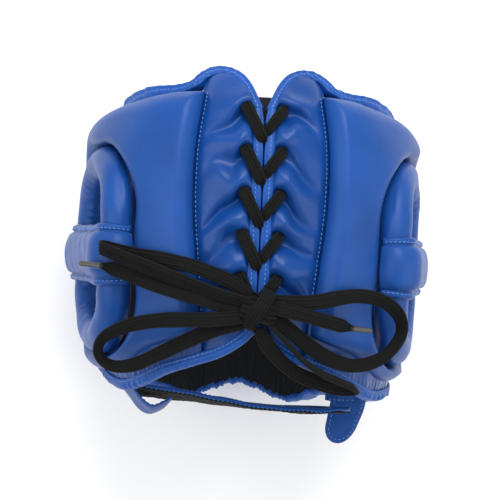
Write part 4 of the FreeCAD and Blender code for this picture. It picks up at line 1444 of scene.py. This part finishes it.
def ear_ring(sign, tag):
    along = RING_REAR - RING_FRONT
    half = np.linalg.norm(along) / 2
    along = along / np.linalg.norm(along)
    middle = (RING_REAR + RING_FRONT) / 2
    up = np.array((0, 1.0, 0))
    outwards = np.cross(up, along)
    if outwards[0] < 0:
        outwards = -outwards
    path = rounded_frame(half, RING_HALF_HEIGHT, RING_CORNER, 421)[:-1]
    tangent = unit(np.roll(path, -1, 0) - np.roll(path, 1, 0))
    away = np.stack([tangent[:, 1], -tangent[:, 0]], -1)
    turn = np.linspace(0, 2 * math.pi, 48, endpoint=False)
    s = np.arange(len(path)) * length_of(path) / len(path)
    bend = np.abs(np.cross(np.roll(tangent, -6, 0), np.roll(tangent, 6, 0)))
    bend = smooth(bend / 0.28)[:, None]
    ss, tt = np.meshgrid(s, turn, indexing="ij")
    inward = np.clip(-np.cos(tt), 0, 1)
    crease = np.sin(2 * math.pi * ss / 9.5 + 2.0 * waves(420 + sign, ss, 0 * ss, 24.0))
    radius = RING_TUBE + 0.35 * waves(421 + sign, ss, RING_TUBE * tt, 26.0)
    radius = radius - bend * inward ** 1.5 * (0.5 + 0.4 * crease)
    radius = radius - 1.1 * bump(tt - math.pi, 0.10)
    radius = radius * (1 - 0.05 * np.abs(np.sin(tt)) ** 3)
    away3 = along * away[:, :1] + up * away[:, 1:]
    centre = middle + along * path[:, :1] + up * path[:, 1:]
    points = (centre[:, None, :] + away3[:, None, :] * (radius * np.cos(tt))[..., None]
              + outwards * (radius * np.sin(tt))[..., None])
    points = points * (sign, 1, 1)
    faces = quads(len(path), len(turn), True, True)
    piece = closed_piece("ear_ring_" + tag, points.reshape(-1, 3), faces, smooth_leather)
    fitted(piece, ("ear_ring_cover_" + tag, "ear_ring_core_" + tag))


both(ear_ring)


def ear_band(sign, tag):
    """Padded belt over the outside of both upright limbs, with a stitched flange above and below."""
    along = RING_REAR - RING_FRONT
    along = along / np.linalg.norm(along)
    outwards = np.array((along[2], 0, -along[0]))
    if outwards[0] < 0:
        outwards = -outwards
    path = []
    normal = []
    for degrees in np.linspace(118, 0, 60):
        a = math.radians(degrees)
        reach = outwards * math.cos(a) + along * math.sin(a)
        path.append(RING_REAR * (1, 0, 1) + reach * RING_TUBE)
        normal.append(reach)
    for share in np.linspace(0, 1, 60)[1:-1]:
        path.append((RING_REAR + (RING_FRONT - RING_REAR) * share) * (1, 0, 1) + outwards * RING_TUBE)
        normal.append(outwards)
    for degrees in np.linspace(0, 112, 56):
        a = math.radians(degrees)
        reach = outwards * math.cos(a) - along * math.sin(a)
        path.append(RING_FRONT * (1, 0, 1) + reach * RING_TUBE)
        normal.append(reach)
    path = np.array(path)
    normal = np.array(normal)
    s = distances(path)
    v = np.linspace(-1, 1, 64)
    ss, vv = np.meshgrid(s, v, indexing="ij")
    ends = smooth(ss / 9.0) * smooth((s[-1] - ss) / 9.0)
    body = np.clip(1 - (np.abs(vv) / 0.74) ** 2.8, 0, 1)
    lift = 2.5 + 4.6 * body ** 0.62 * (0.55 + 0.45 * ends)
    lift = lift - 0.9 * bump(np.abs(vv) - 0.76, 0.035)
    lift = lift + 0.22 * waves(440 + sign, ss, vv * BAND_HALF, 16.0)
    lift = lift * (1 - 0.75 * np.clip((np.abs(vv) - 0.93) / 0.07, 0, 1) ** 2)
    crease = np.sin(2 * math.pi * ss / 9.0 + 1.5 * waves(442, ss, 0 * ss, 20.0))
    lift = lift - 0.12 * (1 + crease) * bump(np.abs(vv) - 0.66, 0.1)
    rise = 1.3 * np.sin(math.pi * np.clip(s / 40.0, 0, 1))
    y = BAND_MIDDLE + vv * BAND_HALF + rise[:, None] * vv + 0.4 * waves(444, ss, 0 * ss, 25.0)
    top = path[:, None, :] + normal[:, None, :] * lift[..., None]
    top[..., 1] = y
    under = path[:, None, :] + normal[:, None, :] * np.full_like(lift, 0.25)[..., None]
    under[..., 1] = y
    piece = slab_piece("ear_band_" + tag, top * (sign, 1, 1), under * (sign, 1, 1), smooth_leather)
    fitted(piece, ("ear_band_cover_" + tag, "ear_band_foam_" + tag))
    for share in (-0.85, 0.85):
        at = int(round((share + 1) / 2 * 63))
        stitches.along(top[2:-2, at] * (sign, 1, 1), normal[2:-2] * (sign, 1, 1))


both(ear_band)


# ---------------------------------------------------------------- chin strap and tongue
STRAP_LINE = [(-74.5, -93.8), (-69.5, -96), (-36, -98.6), (-2, -101.2), (34, -103.2), (70, -103.6)]
STRAP_LOW_Z = 136.0
STRAP_WIDTH = 38.0


def square_to(line):
    """Directions square to a line in the x-y plane."""
    tangent = unit(np.gradient(line, axis=0))
    return np.stack([-tangent[:, 1], tangent[:, 0]], -1)


def strap_grid(offset, inset, edge_round):
    """Points over the strap at an offset from its middle surface; it leans back most at its root."""
    line = spline(STRAP_LINE, 150)
    square = square_to(line)
    s = distances(line)
    radius = STRAP_WIDTH / 2 - inset
    tip = s[-1] - inset
    half = radius * np.sqrt(np.clip(1 - (np.clip(s - (tip - radius), 0, radius) / radius) ** 2, 0.0004, 1))
    half = np.where(s > tip, 0.02 * radius, half)
    t = np.linspace(-1, 1, 40)
    t = np.sign(t) * (1 - (1 - np.abs(t)) ** 1.25)
    across = half[:, None] * t[None, :]
    lean = 0.10 + 0.20 * np.exp(-s / 26.0) + 0.05 * np.sin(s / 24.0)
    sag = 0.9 * np.sin(s / 21.0 + 0.6)
    push = lean[:, None] * across + sag[:, None] + 0.35 * waves(460, s[:, None], across, 20.0)
    away = offset * (1 - edge_round * np.abs(t[None, :]) ** 6)
    x = line[:, 0:1] + square[:, 0:1] * (push + away)
    y = line[:, 1:2] + square[:, 1:2] * (push + away)
    z = STRAP_LOW_Z + STRAP_WIDTH / 2 + across
    return np.stack([x + 0 * z, y + 0 * z, z], -1), s


def chin_strap():
    outer, s = strap_grid(1.9, 0.0, 0.55)
    inner, _ = strap_grid(-0.75, 0.0, 0.2)
    piece = slab_piece("chin_strap_leather", outer, inner, smooth_leather)
    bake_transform(piece)
    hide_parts("chin_strap")
    face, _ = strap_grid(-1.9, 1.9, 0.1)
    back, _ = strap_grid(-0.6, 1.9, 0.0)
    face[..., 1] += 0.22 * waves(462, s[:, None] * 4, face[..., 2] * 4, 5.0)
    pile = slab_piece("strap_pile_cloth", back, face, pile_cloth)
    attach(pile, "strap")
    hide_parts("strap_pile")
    strap_stitches = Stitching(9)
    for at in (3, -4):
        line = outer[6:-14, at]
        strap_stitches.along(line, np.broadcast_to(np.array((0.05, 1.0, 0.0)), line.shape))
        line = inner[6:-14, at]
        strap_stitches.along(line, np.broadcast_to(np.array((0.0, -1.0, 0.0)), line.shape))
    strap_stitches.piece("strap_stitches", thread, "strap")


def strap_fold():
    """Small folded end of the strap's leather under its root."""
    line = spline([(-79, -91), (-74, -97), (-68, -104), (-61, -107.5), (-54, -104.5), (-50, -101)], 60)
    t = np.linspace(-1, 1, 24)
    z = 160.0 + 11.0 * t[None, :] + 0 * line[:, :1]
    x = line[:, 0:1] + 1.5 * t[None, :]
    y = line[:, 1:2] + 3.6 * t[None, :] + 0.5 * waves(495, line[:, 0:1], z, 14.0)
    square = square_to(line)[:, None, :]
    edge = (1.0 - 0.6 * np.abs(t) ** 8)[None, :, None]
    top = np.stack([x, y, z], -1)
    under = top.copy()
    top[..., :2] += square * 1.1 * edge
    under[..., :2] -= square * 1.1 * edge
    piece = slab_piece("strap_fold", top, under, smooth_leather)
    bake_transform(piece)
    facing = np.pad(square[24:-3, 0], ((0, 0), (0, 1)))
    fold_stitches = Stitching(11)
    fold_stitches.along(top[24:-3, -3], facing)
    fold_stitches.piece("fold_stitches", thread, "strap")


chin_strap()
strap_fold()

TONGUE = (57.0, 81.0, -128.0)
TONGUE_MIDDLE_Z = 128.0
HOOK_TOP = -105.6


def tongue_lean(y):
    """Sideways shift of the tongue's middle line: it swings in towards its tip."""
    return 3.0 - 6.5 * smooth((-96.0 - y) / 34.0)


def tongue_taper(y):
    return 1.0 - 0.16 * smooth((-100.0 - y) / 26.0)


def tongue_grid(margin, level, edge, top=-88.0):
    """Tongue outline filled with a grid, at a level over its middle plane."""
    left, right, tip = TONGUE
    left, right, tip = left + margin, right - margin, tip + margin
    radius = (right - left) / 2
    y = top + (tip - top) * (1 - (1 - np.linspace(0, 1, 60)) ** 1.5)
    down = np.clip((tip + radius) - y, 0, radius)
    half = radius * np.sqrt(np.clip(1 - (down / radius) ** 2, 0.0009, 1)) * tongue_taper(y)
    t = np.linspace(-1, 1, 36)
    t = np.sign(t) * (1 - (1 - np.abs(t)) ** 1.4)
    x = (left + right) / 2 + tongue_lean(y)[:, None] + half[:, None] * t[None, :]
    yy = np.broadcast_to(y[:, None], x.shape)
    rim = np.minimum((1 - np.abs(t[None, :])) * half[:, None], np.maximum(yy - tip, 0))
    groove = 0.25 * np.sign(level) * bump(rim - 2.6, 0.7)
    z = TONGUE_MIDDLE_Z + level * (1 - edge * np.exp(-rim / 0.9)) - groove
    z = z + 0.5 * np.sin((yy + 90) / 9.0) + 0.25 * waves(480, x, yy, 12.0)
    return np.stack([x, yy + 0 * x, z], -1)


def tongue_tab():
    """Leather tab from the neck edge's right corner to the tongue's root, its outer end under the hem."""
    u = np.linspace(0, 1, 60)[:, None]
    v = np.linspace(0, 1, 24)[None, :]
    x = 99.0 - 43.0 * u
    high = curve_value([(56, -93.5), (68, -91.5), (80, -90), (92, -87.5), (103.5, -83.5)], x)
    low = curve_value([(56, -99.0), (68, -100.5), (80, -99.8), (92, -97.0), (103.5, -92.0)], x)
    y = high + (low - high) * v
    x = x + 0 * v
    rim = np.minimum(np.minimum(v, 1 - v) * (high - low), (1 - u) * 43.0)
    round_edge = 1 - 0.7 * np.exp(-rim / 0.9)
    lift = 0.8 * np.sin(x / 7.0) * v + 0.4 * waves(490, x, y, 9.0)
    top = np.stack([x, y, TONGUE_MIDDLE_Z + 1.9 * round_edge + lift], -1)
    under = np.stack([x, y, TONGUE_MIDDLE_Z - 1.7 * round_edge + lift], -1)
    piece = slab_piece("tongue_tab_leather", top, under, smooth_leather)
    fitted(piece, ("tongue_tab",))
    stitches.along(top[3:-2, -6], np.broadcast_to(np.array((0, 0, 1.0)), top[3:-2, -6].shape))


tongue_tab()


def chin_tongue():
    upper = tongue_grid(0.0, 2.0, 0.75)
    lower = tongue_grid(0.0, -1.6, 0.75)
    piece = slab_piece("chin_tongue_leather", upper, lower, smooth_leather)
    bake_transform(piece)
    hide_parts("chin_tongue")
    hook = tongue_grid(3.0, -2.4, 0.0, HOOK_TOP)
    hook[..., 2] += 0.1 * np.sin(hook[..., 0] * 6.0) * np.sin(hook[..., 1] * 6.0)
    base = tongue_grid(3.0, -1.5, 0.0, HOOK_TOP)
    patch = slab_piece("tongue_hook_tape", base, hook, hook_tape)
    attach(patch, "tongue")
    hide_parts("tongue_hook_patch")
    left, right, tip = TONGUE
    top = -92.0
    inset = 2.6
    radius = (right - left) / 2 - inset
    middle = (left + right) / 2
    turn = np.linspace(0, -math.pi, 60)
    arc = np.stack([middle + radius * np.cos(turn), tip + inset + radius + radius * np.sin(turn)], -1)
    line = np.vstack([[(middle + radius, top - 1)], arc, [(middle - radius, top - 1)]])
    line = resampled(line, 160)
    line[:, 0] = middle + tongue_lean(line[:, 1]) + (line[:, 0] - middle) * tongue_taper(line[:, 1])
    swell = 0.5 * np.sin((line[:, 1] + 90) / 9.0)
    z = TONGUE_MIDDLE_Z + 1.75 + swell + 0.25 * waves(480, line[:, 0], line[:, 1], 12.0)
    tongue_stitches = Stitching(10)
    upwards = np.broadcast_to(np.array((0, 0, 1.0)), (160, 3))
    tongue_stitches.along(np.stack([line[:, 0], line[:, 1], z + 0.05], -1), upwards)
    tongue_stitches.piece("tongue_stitches", thread, "tongue")


chin_tongue()
stitches.piece("stitches", thread, "headgear")
